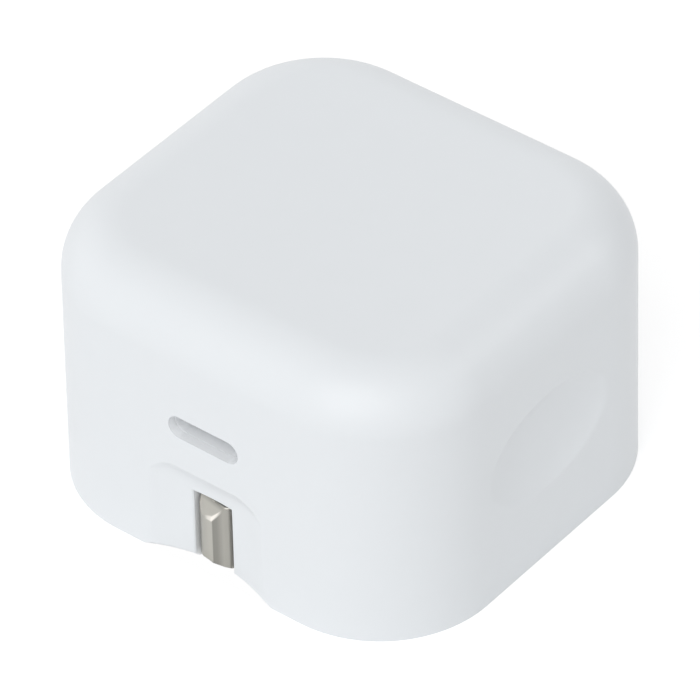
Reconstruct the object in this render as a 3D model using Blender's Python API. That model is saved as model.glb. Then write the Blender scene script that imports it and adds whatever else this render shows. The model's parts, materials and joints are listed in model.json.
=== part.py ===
"""Compact wall power adapter with a USB-C socket and a folding three-pin plug.

The adapter stands on its plug face at z = 0, with the socket on the -Y side and the pins folded away.
The earth pin lies along -Y with its tip in the thumb scoop, and the two line pins lie along +Y.
Lifting the earth pin turns its carrier +90 degrees about X. Two racks on one slider carry that turn
to the yoke of the line pins, which turns -90 degrees, so that all three pins stand along -Z.

Units are metres. Every piece is modelled where it lies when folded.
"""

from math import acos, asin, cos, hypot, pi, radians, sin, sqrt, tan

import bmesh
import bpy
from mathutils import Matrix, Vector

# --------------------------------------- housing
BODY_WIDTH = 0.0476
BODY_DEPTH = 0.0450
BODY_HEIGHT = 0.0305
CORNER_RADIUS = 0.0126
TOP_FILLET = 0.00615
WALL_DRAFT = 0.0002  # each side leans in by this much from the base to the top
WALL = 0.0020
RIM_WALL = 0.0014  # wall left outside the pin plate

# --------------------------------------- clearances
SEAT_GAP = 0.00015  # between fixed pieces that touch
RUN_GAP = 0.00030  # around pieces that move
BORE_GAP = 0.00010  # around a shaft in its bearing, on the radius

# --------------------------------------- socket opening, thumb scoop, finger recesses
PORT_WIDTH = 0.0085
PORT_HEIGHT = 0.0027
PORT_CENTER_Z = 0.0168
PORT_WALL = 0.0009  # wall left in front of the receptacle

SCOOP_WIDTH = 0.0139
SCOOP_HEIGHT = 0.01195
SCOOP_CORNER = 0.0033
SCOOP_DEPTH = 0.0013
SCOOP_RADIUS = 0.0182  # of the hollow back, about a vertical axis
SCOOP_BACKING = 0.0022
SCOOP_LIP_HEIGHT = 0.00075  # taken off the scoop's lower edge in the middle
SCOOP_LIP_RADIUS = 0.0219  # of the drum that takes it off in a shallow arc
SCOOP_LIP_TILT = radians(43.3)
SLOT_HEADROOM = 0.00045  # above the folded earth pin, where it leaves the scoop

RECESS_LENGTH = 0.0180
RECESS_HEIGHT = 0.0112
RECESS_DEPTH = 0.0011
RECESS_CENTER_Z = 0.0140
RECESS_EDGE_SCALE = 0.8  # share of the hollow's full ellipse that the wall cuts

# --------------------------------------- plug pins, to the British three-pin pattern
LINE_PIN_WIDTH = 0.00635
LINE_PIN_THICKNESS = 0.0040
LINE_PIN_REACH = 0.0177
LINE_PIN_SPACING = 0.0222
EARTH_PIN_WIDTH = 0.0040
EARTH_PIN_DEPTH = 0.0080
EARTH_PIN_REACH = 0.0227
EARTH_TO_LINE = 0.02223
SLEEVE_REACH = 0.0095
SLEEVE_WALL = 0.0006
PIN_NECK_STEP = 0.0008  # how much smaller each side of a pin is inside its carrier
PIN_CHAMFER = 0.0009

# --------------------------------------- fold
PIN_RECESS = 0.00045  # folded pins lie this far above the plug face
EARTH_TIP_INSET = 0.0009  # folded earth tip behind the port face
EARTH_PIVOT_Z = 0.0080
LINE_PIVOT_Z = 0.0046
CARRIER_RECESS = 0.0002  # carriers stop this far above the plug face when the pins stand out

# --------------------------------------- racks and gear sectors
GEAR_MODULE = 0.0008
GEAR_TEETH_PER_TURN = 10
SECTOR_TEETH = 4
PRESSURE_ANGLE = radians(25)
TOOTH_ADDENDUM = 0.8  # in modules
TOOTH_DEDENDUM = 1.0  # in modules
TOOTH_PLAY = 0.00012  # taken off the thickness of every tooth
GEAR_INNER_X = 0.0040
GEAR_WIDTH = 0.0022
RACK_BACK = 0.0009  # thickness behind the low rack's teeth
BAR_BACK = 0.0012  # thickness behind the high rack's teeth
RISER_THICKNESS = 0.0020
CROSS_BAR_LENGTH = 0.0014

# --------------------------------------- carriers
EARTH_HUB_RADIUS = 0.0030
CARRIER_WALL = 0.0015
EARTH_BLOCK_TOP = 0.0014  # above the pivot
AXLE_RADIUS = 0.0010
YOKE_HUB_RADIUS = 0.0023
YOKE_SIDE_WALL = 0.0005
TRUNNION_RADIUS = 0.0015
TRUNNION_LENGTH = 0.0021
ARM_THICKNESS = 0.0010
ARM_HALF_LENGTH = 0.0015
BRIDGE_THICKNESS = 0.0013
BRIDGE_GAP = 0.00075  # between the folded earth pin and the bridge over it

# --------------------------------------- pin plate and mechanism frame
PLATE_THICKNESS = 0.0020
WELL_WALL = 0.0006
FRONT_WELL_LENGTH = 0.0066
POST_WALL = 0.0010
POST_RISE = 0.0013  # above the trunnion
BOSS_RADIUS = 0.0020
BOSS_INSET_X = 0.0043
BOSS_INSET_Y = 0.0068
FRAME_THICKNESS = 0.0010
LUG_THICKNESS = 0.0016
LUG_HALF_WIDTH = 0.0022
RAIL_WIDTH = 0.0012
SCREW_RADIUS = 0.0009
SCREW_HEAD_RADIUS = 0.0017
SCREW_HEAD_HEIGHT = 0.0010
SCREW_GRIP = 0.0055
SPRING_WIDTH = 0.0050
SPRING_THICKNESS = 0.00025
SPRING_LENGTH = 0.0100
CONTACT_WIDTH = 0.0030
CONTACT_THICKNESS = 0.0004
CONTACT_LEAF = 0.0080
CONTACT_STAND = 0.0007  # of the contact's leg above the board

# --------------------------------------- socket
SOCKET_WIDTH = 0.00834
SOCKET_HEIGHT = 0.00256
SOCKET_SHEET = 0.0003
SOCKET_LENGTH = 0.0086
TONGUE_WIDTH = 0.0067
TONGUE_THICKNESS = 0.0007
TONGUE_LENGTH = 0.0045
TONGUE_BASE_LENGTH = 0.0028

# --------------------------------------- board and what stands on it
BOARD_THICKNESS = 0.0010
BOARD_CLAMP_Y = 0.0090
BOARD_POST_RADIUS = 0.0013
BOARD_POST_INSET = 0.0032
BOARD_POST_Y = 0.0050
SPREADER_THICKNESS = 0.0008
SPREADER_MARGIN = 0.0010  # inside the flat of the ceiling
PAD_THICKNESS = 0.0008
LAYOUT_HALF_DEPTH = 0.0205  # the layout below is drawn for a cavity of this half depth
LAYOUT_HEADROOM = 0.01123  # and for this height above the board; other sizes stretch it
TRANSFORMER_Y = 0.0015
CORE_LENGTH = 0.0138
CORE_WIDTH = 0.0158
CORE_HEIGHT = 0.0060
CORE_LEG = 0.0026
BOBBIN_WALL = 0.0005
BULK_CAN_RADIUS = 0.00465
BULK_CAN_INSET_X = 0.0073
BULK_CAN_Y = 0.0115
BULK_HEADROOM = 0.0012
OUTPUT_CAN_RADIUS = 0.00315
OUTPUT_CAN_HEIGHT = 0.0085
OUTPUT_CAN_GAP = 0.0009  # to the receptacle
OUTPUT_CAN_Y = -0.0164
FILTER_BOX = (0.0115, 0.0052, 0.0095)
FILTER_Y = 0.0171
FUSE_BOX = (0.0076, 0.0038, 0.0080)
FUSE_Y = 0.0115
BRIDGE_BOX = (0.0060, 0.0040, 0.0022)
BRIDGE_INSET_X = 0.0056
BRIDGE_Y = 0.0024
COUPLER_BOX = (0.0046, 0.0064, 0.0034)
COUPLER_INSET_X = 0.0068
COUPLER_Y = -0.0096
DRIVER_BOX = (0.0080, 0.0032, 0.0012)
DRIVER_Y = -0.0079
RECTIFIER_BOX = (0.0050, 0.0028, 0.0010)
RECTIFIER_INSET_X = 0.0076
RECTIFIER_Y = -0.0114
DISC_RADIUS = 0.0033
DISC_THICKNESS = 0.0026
DISC_INSET_X = 0.0078
DISC_Y = -0.0078
CHOKE_RADIUS = 0.0032
CHOKE_CORE_RADIUS = 0.0012
CHOKE_WINDING_WALL = 0.0006
CHOKE_INSET_X = 0.0055
CHOKE_Y = 0.0011
CHOKE_WINDING_SPAN = radians(125)
BARRIER_THICKNESS = 0.0003
BARRIER_WIDTH = 0.0180
BARRIER_HEIGHT = 0.0090
BARRIER_Y = -0.0105

# --------------------------------------- fineness of the round surfaces
CORNER_STEPS = 10
FILLET_STEPS = 7
INNER_STEPS = 5
ROUND_SIDES = 24
SHARP_ANGLE = radians(32)

# --------------------------------------- places worked out from the sizes above
HALF_WIDTH = BODY_WIDTH / 2
HALF_DEPTH = BODY_DEPTH / 2
CAVITY_X = HALF_WIDTH - WALL
CAVITY_Y = HALF_DEPTH - WALL
CAVITY_TOP = BODY_HEIGHT - WALL
PLATE_X = HALF_WIDTH - RIM_WALL - SEAT_GAP
PLATE_Y = HALF_DEPTH - RIM_WALL - SEAT_GAP
BACKING_Y = -(HALF_DEPTH - SCOOP_DEPTH - SCOOP_BACKING)
BACKING_X = SCOOP_WIDTH / 2 + WALL

EARTH_Z = PIN_RECESS + EARTH_PIN_DEPTH / 2
EARTH_TOP = PIN_RECESS + EARTH_PIN_DEPTH
EARTH_TIP_Y = -HALF_DEPTH + EARTH_TIP_INSET
EARTH_PIVOT_Y = EARTH_TIP_Y + EARTH_PIN_REACH + EARTH_PIVOT_Z
EARTH_OPEN_Y = EARTH_PIVOT_Y + EARTH_PIVOT_Z - EARTH_Z
EARTH_SLOT_X = EARTH_PIN_WIDTH / 2 + RUN_GAP

LINE_X = LINE_PIN_SPACING / 2
LINE_Z = PIN_RECESS + LINE_PIN_THICKNESS / 2
LINE_OPEN_Y = EARTH_OPEN_Y - EARTH_TO_LINE
LINE_PIVOT_Y = LINE_OPEN_Y + LINE_PIVOT_Z - LINE_Z
LINE_TIP_Y = LINE_PIVOT_Y + LINE_PIN_REACH + LINE_PIVOT_Z

PITCH_RADIUS = GEAR_MODULE * GEAR_TEETH_PER_TURN / 2
TIP_RADIUS = PITCH_RADIUS + TOOTH_ADDENDUM * GEAR_MODULE
ROOT_RADIUS = PITCH_RADIUS - TOOTH_DEDENDUM * GEAR_MODULE
RACK_PITCH = pi * GEAR_MODULE
SLIDE_TRAVEL = PITCH_RADIUS * pi / 2
GEAR_OUTER_X = GEAR_INNER_X + GEAR_WIDTH
HUB_END_X = GEAR_OUTER_X + BORE_GAP

EARTH_BLOCK_X = EARTH_PIN_WIDTH / 2 + CARRIER_WALL
EARTH_FACE_Y = EARTH_PIVOT_Y - (EARTH_PIVOT_Z - CARRIER_RECESS)
EARTH_BLOCK_BOTTOM = PIN_RECESS
EARTH_ROOT_Y = EARTH_PIVOT_Y - AXLE_RADIUS - CARRIER_WALL

YOKE_FACE_Y = LINE_PIVOT_Y + LINE_PIVOT_Z - CARRIER_RECESS
YOKE_BACK_Y = LINE_PIVOT_Y - YOKE_HUB_RADIUS
YOKE_INNER_X = LINE_X - LINE_PIN_WIDTH / 2 - YOKE_SIDE_WALL
YOKE_OUTER_X = LINE_X + LINE_PIN_WIDTH / 2 + YOKE_SIDE_WALL
YOKE_SWEEP = hypot(YOKE_FACE_Y - LINE_PIVOT_Y, YOKE_HUB_RADIUS)
TRUNNION_END_X = YOKE_OUTER_X + TRUNNION_LENGTH
BRIDGE_Z = EARTH_TOP + BRIDGE_GAP
BRIDGE_X = GEAR_INNER_X - RUN_GAP

WELL_START_Y = LINE_PIVOT_Y + YOKE_SWEEP + RUN_GAP
WELL_END_Y = LINE_TIP_Y + RUN_GAP
WELL_ROOF_Z = PIN_RECESS + LINE_PIN_THICKNESS + RUN_GAP
WELL_HALF_WIDTH = LINE_PIN_WIDTH / 2 + RUN_GAP
YOKE_SLOT_START_Y = LINE_PIVOT_Y - (LINE_PIVOT_Z - PIN_RECESS) - RUN_GAP
FRONT_WELL_ROOF = EARTH_TOP + RUN_GAP

LOW_RACK_PITCH_Z = EARTH_PIVOT_Z - PITCH_RADIUS
HIGH_RACK_PITCH_Z = LINE_PIVOT_Z + PITCH_RADIUS
SLIDER_BOTTOM = LOW_RACK_PITCH_Z - TOOTH_DEDENDUM * GEAR_MODULE - RACK_BACK
SLIDER_TOP = HIGH_RACK_PITCH_Z + TOOTH_DEDENDUM * GEAR_MODULE + BAR_BACK
RISER_FRONT_Y = EARTH_PIVOT_Y - SLIDE_TRAVEL - EARTH_HUB_RADIUS - RUN_GAP
RISER_BACK_Y = RISER_FRONT_Y - RISER_THICKNESS
HIGH_RACK_START_Y = LINE_PIVOT_Y - (SECTOR_TEETH - 1) * RACK_PITCH - CROSS_BAR_LENGTH

FRAME_BOTTOM = max(EARTH_PIVOT_Z + EARTH_HUB_RADIUS, SLIDER_TOP) + 2 * RUN_GAP
FRAME_TOP = FRAME_BOTTOM + FRAME_THICKNESS
LUG_X = HUB_END_X + RUN_GAP
LUG_END_X = LUG_X + LUG_THICKNESS
POST_X = YOKE_OUTER_X + 2 * RUN_GAP
POST_END_X = TRUNNION_END_X + SEAT_GAP
BOSS_X = CAVITY_X - BOSS_INSET_X
BOSS_Y = CAVITY_Y - BOSS_INSET_Y
BOSS_TOP = FRAME_BOTTOM - SEAT_GAP
CONTACT_Z = LINE_PIVOT_Z + YOKE_HUB_RADIUS + RUN_GAP
CONTACT_LEG_Y = YOKE_FACE_Y + RUN_GAP

SOCKET_OUTER_X = SOCKET_WIDTH / 2 + SOCKET_SHEET
SOCKET_OUTER_Z = SOCKET_HEIGHT / 2 + SOCKET_SHEET
PORT_FACE_Y = -(HALF_DEPTH - WALL_DRAFT * PORT_CENTER_Z / BODY_HEIGHT)
SOCKET_FRONT_Y = PORT_FACE_Y + PORT_WALL + SEAT_GAP
BOARD_TOP = PORT_CENTER_Z - SOCKET_OUTER_Z - SEAT_GAP
BOARD_BOTTOM = BOARD_TOP - BOARD_THICKNESS
BOARD_X = CAVITY_X - 2 * RUN_GAP
BOARD_Y = CAVITY_Y - 2 * RUN_GAP
SEAT_Z = BOARD_TOP + SEAT_GAP
SPREADER_TOP = CAVITY_TOP - SEAT_GAP
SPREADER_BOTTOM = SPREADER_TOP - SPREADER_THICKNESS
PAD_TOP = SPREADER_BOTTOM - SEAT_GAP
PAD_BOTTOM = PAD_TOP - PAD_THICKNESS
BOBBIN_TOP = PAD_BOTTOM - SEAT_GAP
STRETCH_Y = CAVITY_Y / LAYOUT_HALF_DEPTH
STRETCH_Z = (BOBBIN_TOP - SEAT_Z) / LAYOUT_HEADROOM
OUTPUT_CAN_X = SOCKET_OUTER_X + OUTPUT_CAN_GAP + OUTPUT_CAN_RADIUS * STRETCH_Y
CORE_HALF_Y = CORE_LENGTH / 2 * STRETCH_Y
CORE_HALF_Z = CORE_HEIGHT / 2 * STRETCH_Z
WINDOW_HALF_Y = CORE_HALF_Y - CORE_LEG
TRANSFORMER_MIDDLE_Y = TRANSFORMER_Y * STRETCH_Y

SIDES = (("left", -1), ("right", 1))


# --------------------------------------- outlines
def without_repeats(points):
    """The outline without points that repeat the one before them."""
    kept = []
    for index, point in enumerate(points):
        before = points[index - 1]
        if hypot(point[0] - before[0], point[1] - before[1]) > 1e-7:
            kept.append(point)
    return kept


def arc(center, radius, start, end, steps):
    """Points on a circular arc, both ends included."""
    angles = [start + (end - start) * step / steps for step in range(steps + 1)]
    return [(center[0] + radius * cos(angle), center[1] + radius * sin(angle)) for angle in angles]


def rounded_rectangle(half_x, half_y, radius, steps, center=(0.0, 0.0)):
    """Counter-clockwise outline of a rectangle with round corners."""
    points = []
    for quarter, (side_x, side_y) in enumerate(((1, 1), (-1, 1), (-1, -1), (1, -1))):
        corner = (center[0] + side_x * (half_x - radius), center[1] + side_y * (half_y - radius))
        points += arc(corner, radius, quarter * pi / 2, (quarter + 1) * pi / 2, steps)
    return without_repeats(points)


def involute(angle):
    return tan(angle) - angle


def gear_sector(center, tooth_angles):
    """Pie-shaped outline, from the centre out, with involute teeth at the given angles in rising order."""
    base_radius = PITCH_RADIUS * cos(PRESSURE_ANGLE)
    half_at_pitch = (RACK_PITCH / 2 - TOOTH_PLAY) / (2 * PITCH_RADIUS)
    flank = []
    for radius in (base_radius, (base_radius + PITCH_RADIUS) / 2, PITCH_RADIUS, TIP_RADIUS):
        pressure = acos(min(1.0, base_radius / radius))
        flank.append((radius, half_at_pitch + involute(PRESSURE_ANGLE) - involute(pressure)))
    flank.insert(0, (ROOT_RADIUS, flank[0][1]))
    half_pitch = pi / GEAR_TEETH_PER_TURN
    polar = [(ROOT_RADIUS, tooth_angles[0] - half_pitch)]
    for tooth in tooth_angles:
        polar += [(radius, tooth - half) for radius, half in flank]
        polar += [(radius, tooth + half) for radius, half in reversed(flank)]
    polar.append((ROOT_RADIUS, tooth_angles[-1] + half_pitch))
    rim = [(center[0] + radius * cos(angle), center[1] + radius * sin(angle)) for radius, angle in polar]
    return [center] + rim


def rack_teeth(mesh_y, pitch_z, direction):
    """Outline points of a rack's teeth, from +Y to -Y, pointing up (+1) or down (-1)."""
    half_at_pitch = (RACK_PITCH / 2 - TOOTH_PLAY) / 2
    tip = TOOTH_ADDENDUM * GEAR_MODULE
    root = TOOTH_DEDENDUM * GEAR_MODULE
    tip_half = half_at_pitch - tip * tan(PRESSURE_ANGLE)
    root_half = half_at_pitch + root * tan(PRESSURE_ANGLE)
    points = []
    for tooth in range(SECTOR_TEETH):
        center_y = mesh_y + (0.5 - tooth) * RACK_PITCH
        points.append((center_y + root_half, pitch_z - direction * root))
        points.append((center_y + tip_half, pitch_z + direction * tip))
        points.append((center_y - tip_half, pitch_z + direction * tip))
        points.append((center_y - root_half, pitch_z - direction * root))
    return points


# --------------------------------------- solids
def loft(rings):
    """Closed solid whose skin runs through rings of points, all with the same count."""
    bm = bmesh.new()
    loops = [[bm.verts.new(point) for point in ring] for ring in rings]
    for lower, upper in zip(loops, loops[1:]):
        for index, corner in enumerate(lower):
            before = index - 1
            bm.faces.new((lower[before], corner, upper[index], upper[before]))
    bm.faces.new(loops[0])
    bm.faces.new(loops[-1])
    bmesh.ops.recalc_face_normals(bm, faces=bm.faces)
    return bm


def prism(outline, axis, start, end):
    """Outline extruded along x (drawn in y, z), y (drawn in x, z) or z (drawn in x, y)."""
    position = "xyz".index(axis)

    def placed(point, level):
        coordinates = list(point)
        coordinates.insert(position, level)
        return Vector(coordinates)

    bm = bmesh.new()
    face = bm.faces.new([bm.verts.new(placed(point, start)) for point in outline])
    grown = bmesh.ops.extrude_face_region(bm, geom=[face])
    far_side = [item for item in grown["geom"] if isinstance(item, bmesh.types.BMVert)]
    bmesh.ops.translate(bm, verts=far_side, vec=placed((0.0, 0.0), end - start))
    bmesh.ops.recalc_face_normals(bm, faces=bm.faces)
    return bm


def block(x_range, y_range, z_range, bevel=0.0):
    """Box between the given limits, with its edges bevelled if asked."""
    ranges = (x_range, y_range, z_range)
    size = Vector([high - low for low, high in ranges])
    middle = Vector([(high + low) / 2 for low, high in ranges])
    bm = bmesh.new()
    bmesh.ops.create_cube(bm, size=1.0, matrix=Matrix.Translation(middle) @ Matrix.Diagonal(size.to_4d()))
    if bevel:
        bmesh.ops.bevel(bm, geom=bm.edges[:], offset=bevel, segments=1, profile=0.5, affect="EDGES")
    return bm


def standing_box(size, x, layout_y, bevel=0.0002):
    """Box standing on the board, with its size and its place along Y as in the layout."""
    y_range = ((layout_y - size[1] / 2) * STRETCH_Y, (layout_y + size[1] / 2) * STRETCH_Y)
    return block((x - size[0] / 2, x + size[0] / 2), y_range, (SEAT_Z, SEAT_Z + size[2] * STRETCH_Z), bevel)


def cylinder(radius, axis, start, end, center, sides=ROUND_SIDES):
    """Cylinder along x, y or z; the centre gives its other two coordinates."""
    turn = {"x": Matrix.Rotation(pi / 2, 4, "Y"), "y": Matrix.Rotation(pi / 2, 4, "X"), "z": Matrix()}[axis]
    middle = list(center)
    middle.insert("xyz".index(axis), (start + end) / 2)
    bm = bmesh.new()
    bmesh.ops.create_cone(bm, cap_ends=True, segments=sides, radius1=radius, radius2=radius,
                          depth=abs(end - start), matrix=Matrix.Translation(middle) @ turn)
    return bm


def turned(profile, center, sides=ROUND_SIDES):
    """Solid of revolution about a vertical axis, from (radius, z) points between two axis points."""
    bm = bmesh.new()
    chain = [bm.verts.new((center[0] + radius, center[1], z)) for radius, z in profile]
    edges = [bm.edges.new(pair) for pair in zip(chain, chain[1:])]
    bmesh.ops.spin(bm, geom=chain + edges, cent=(center[0], center[1], 0.0), axis=(0.0, 0.0, 1.0),
                   angle=2 * pi, steps=sides, use_merge=True)
    bmesh.ops.remove_doubles(bm, verts=bm.verts, dist=1e-7)
    bmesh.ops.recalc_face_normals(bm, faces=bm.faces)
    return bm


# --------------------------------------- objects
def material(name, color, roughness, metallic=0.0):
    made = bpy.data.materials.new(name)
    made.use_nodes = True
    shader = made.node_tree.nodes["Principled BSDF"]
    shader.inputs["Base Color"].default_value = (*color, 1.0)
    shader.inputs["Roughness"].default_value = roughness
    shader.inputs["Metallic"].default_value = metallic
    return made


def add_piece(name, bm, finish=None):
    """Object in the scene from a mesh that this call uses up."""
    mesh = bpy.data.meshes.new(name)
    bm.to_mesh(mesh)
    bm.free()
    mesh.shade_smooth()
    mesh.set_sharp_from_angle(angle=SHARP_ANGLE)
    if finish:
        mesh.materials.append(finish)
    piece = bpy.data.objects.new(name, mesh)
    bpy.context.scene.collection.objects.link(piece)
    return piece


def boolean(piece, operation, label, bm):
    """Join, cut or intersect a piece with a hidden tool body, through a Boolean modifier."""
    tool = add_piece(f"{piece.name}_{label}", bm)
    tool.hide_render = True
    tool.display_type = "WIRE"
    step = piece.modifiers.new(label, "BOOLEAN")
    step.operation = operation
    step.solver = "EXACT"
    step.object = tool
    return tool


def cut(piece, label, bm):
    return boolean(piece, "DIFFERENCE", label, bm)


def join(piece, label, bm):
    return boolean(piece, "UNION", label, bm)


def hang_on(pivot, *pieces):
    """Parent pieces, and the tools that shape them, to a joint's empty, which becomes their origin."""
    for piece in pieces:
        tools = [step.object for step in piece.modifiers if step.type == "BOOLEAN"]
        for item in [piece] + tools:
            item.data.transform(Matrix.Translation(-pivot.location))
            item.parent = pivot


def add_pivot(name, location):
    pivot = bpy.data.objects.new(name, None)
    pivot.location = location
    pivot.empty_display_size = EARTH_HUB_RADIUS
    bpy.context.scene.collection.objects.link(pivot)
    return pivot


# --------------------------------------- housing
def body_form(inset, bottom, corner_steps, fillet_steps):
    """The housing's outer form, or the same form set in by the wall: drafted sides and a filleted top."""
    top = BODY_HEIGHT - inset
    fillet = TOP_FILLET - inset
    levels = [(bottom, 0.0), (top - fillet, 0.0)]
    for step in range(1, fillet_steps + 1):
        turn = pi / 2 * step / fillet_steps
        levels.append((top - fillet + fillet * sin(turn), fillet * (1 - cos(turn))))
    rings = []
    for z, curl in levels:
        lean = WALL_DRAFT * max(z, 0.0) / BODY_HEIGHT
        shrink = inset + lean + curl
        outline = rounded_rectangle(HALF_WIDTH - shrink, HALF_DEPTH - shrink, CORNER_RADIUS - inset - curl,
                                    corner_steps)
        rings.append([(x, y, z) for x, y in outline])
    return loft(rings)


def backing_block(margin):
    """The thick part of the front wall behind the thumb scoop, which the cavity leaves standing."""
    return block((-BACKING_X - margin, BACKING_X + margin), (-HALF_DEPTH, BACKING_Y + margin),
                 (-2 * PLATE_THICKNESS, SCOOP_HEIGHT + WALL))


def lip_drum():
    """Slanting drum that runs out at both ends of the scoop's lower edge."""
    bm = cylinder(SCOOP_LIP_RADIUS, "z", -2 * SCOOP_HEIGHT, 2 * SCOOP_HEIGHT, (0.0, -SCOOP_LIP_RADIUS), 120)
    middle = Matrix.Translation((0.0, SCOOP_DEPTH - HALF_DEPTH, SCOOP_LIP_HEIGHT))
    bm.transform(middle @ Matrix.Rotation(SCOOP_LIP_TILT, 4, "X"))
    return bm


def finger_hollow(side):
    """Ellipsoid that leaves an oval recess of the stated size and depth in a side wall."""
    wall_x = HALF_WIDTH - WALL_DRAFT * RECESS_CENTER_Z / BODY_HEIGHT
    offset_share = sqrt(1 - RECESS_EDGE_SCALE ** 2)
    reach = RECESS_DEPTH / (1 - offset_share)
    center = Vector((side * (wall_x + reach * offset_share), 0.0, RECESS_CENTER_Z))
    semi_axes = Vector((reach, RECESS_LENGTH / 2 / RECESS_EDGE_SCALE, RECESS_HEIGHT / 2 / RECESS_EDGE_SCALE))
    bm = bmesh.new()
    bmesh.ops.create_uvsphere(bm, u_segments=40, v_segments=20, radius=1.0,
                              matrix=Matrix.Translation(center) @ Matrix.Diagonal(semi_axes.to_4d()))
    return bm


def build_housing(finish):
    shell = add_piece("housing_shell", body_form(0.0, 0.0, CORNER_STEPS, FILLET_STEPS), finish)
    cavity = cut(shell, "cavity", body_form(WALL, -PLATE_THICKNESS, INNER_STEPS, INNER_STEPS - 2))
    cut(cavity, "backing", backing_block(0.0))
    rebate_outline = rounded_rectangle(HALF_WIDTH - RIM_WALL, HALF_DEPTH - RIM_WALL, CORNER_RADIUS - RIM_WALL,
                                       CORNER_STEPS)
    rebate = cut(shell, "rebate", prism(rebate_outline, "z", -PLATE_THICKNESS, PLATE_THICKNESS + SEAT_GAP))
    cut(rebate, "backing", backing_block(0.0))

    arch = rounded_rectangle(SCOOP_WIDTH / 2, SCOOP_HEIGHT, SCOOP_CORNER, INNER_STEPS)
    scoop = cut(shell, "scoop", prism(arch, "y", -HALF_DEPTH - SCOOP_DEPTH, BACKING_Y))
    scoop_axis = (0.0, -HALF_DEPTH + SCOOP_DEPTH - SCOOP_RADIUS)
    boolean(scoop, "INTERSECT", "hollow",
            cylinder(SCOOP_RADIUS, "z", -2 * SCOOP_HEIGHT, 2 * SCOOP_HEIGHT, scoop_axis, 120))
    cut(shell, "scoop_lip", lip_drum())
    cut(shell, "pin_slot",
        block((-EARTH_SLOT_X, EARTH_SLOT_X), (-HALF_DEPTH - WALL, BACKING_Y + WALL),
              (-WALL, EARTH_TOP + SLOT_HEADROOM)))

    port = rounded_rectangle(PORT_WIDTH / 2, PORT_HEIGHT / 2, PORT_HEIGHT / 2, INNER_STEPS,
                             (0.0, PORT_CENTER_Z))
    cut(shell, "port", prism(port, "y", -HALF_DEPTH - WALL, -HALF_DEPTH + 2 * WALL))
    pocket_height = SOCKET_OUTER_Z + SEAT_GAP
    pocket = rounded_rectangle(SOCKET_OUTER_X + SEAT_GAP, pocket_height, pocket_height, INNER_STEPS,
                               (0.0, PORT_CENTER_Z))
    cut(shell, "socket_pocket", prism(pocket, "y", SOCKET_FRONT_Y - SEAT_GAP, -CAVITY_Y + WALL))

    for side_name, side in SIDES:
        cut(shell, f"finger_recess_{side_name}", finger_hollow(side))
        for end_name, end in (("front", -1), ("back", 1)):
            clamp_x = sorted((side * (CAVITY_X - 2 * RUN_GAP - RAIL_WIDTH), side * (CAVITY_X + WALL / 2)))
            clamp_y = (end * BOARD_CLAMP_Y - RAIL_WIDTH / 2, end * BOARD_CLAMP_Y + RAIL_WIDTH / 2)
            rib = block(clamp_x, clamp_y, (SEAT_Z, CAVITY_TOP - TOP_FILLET))
            join(shell, f"clamp_rib_{side_name}_{end_name}", rib)
    return shell


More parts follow.
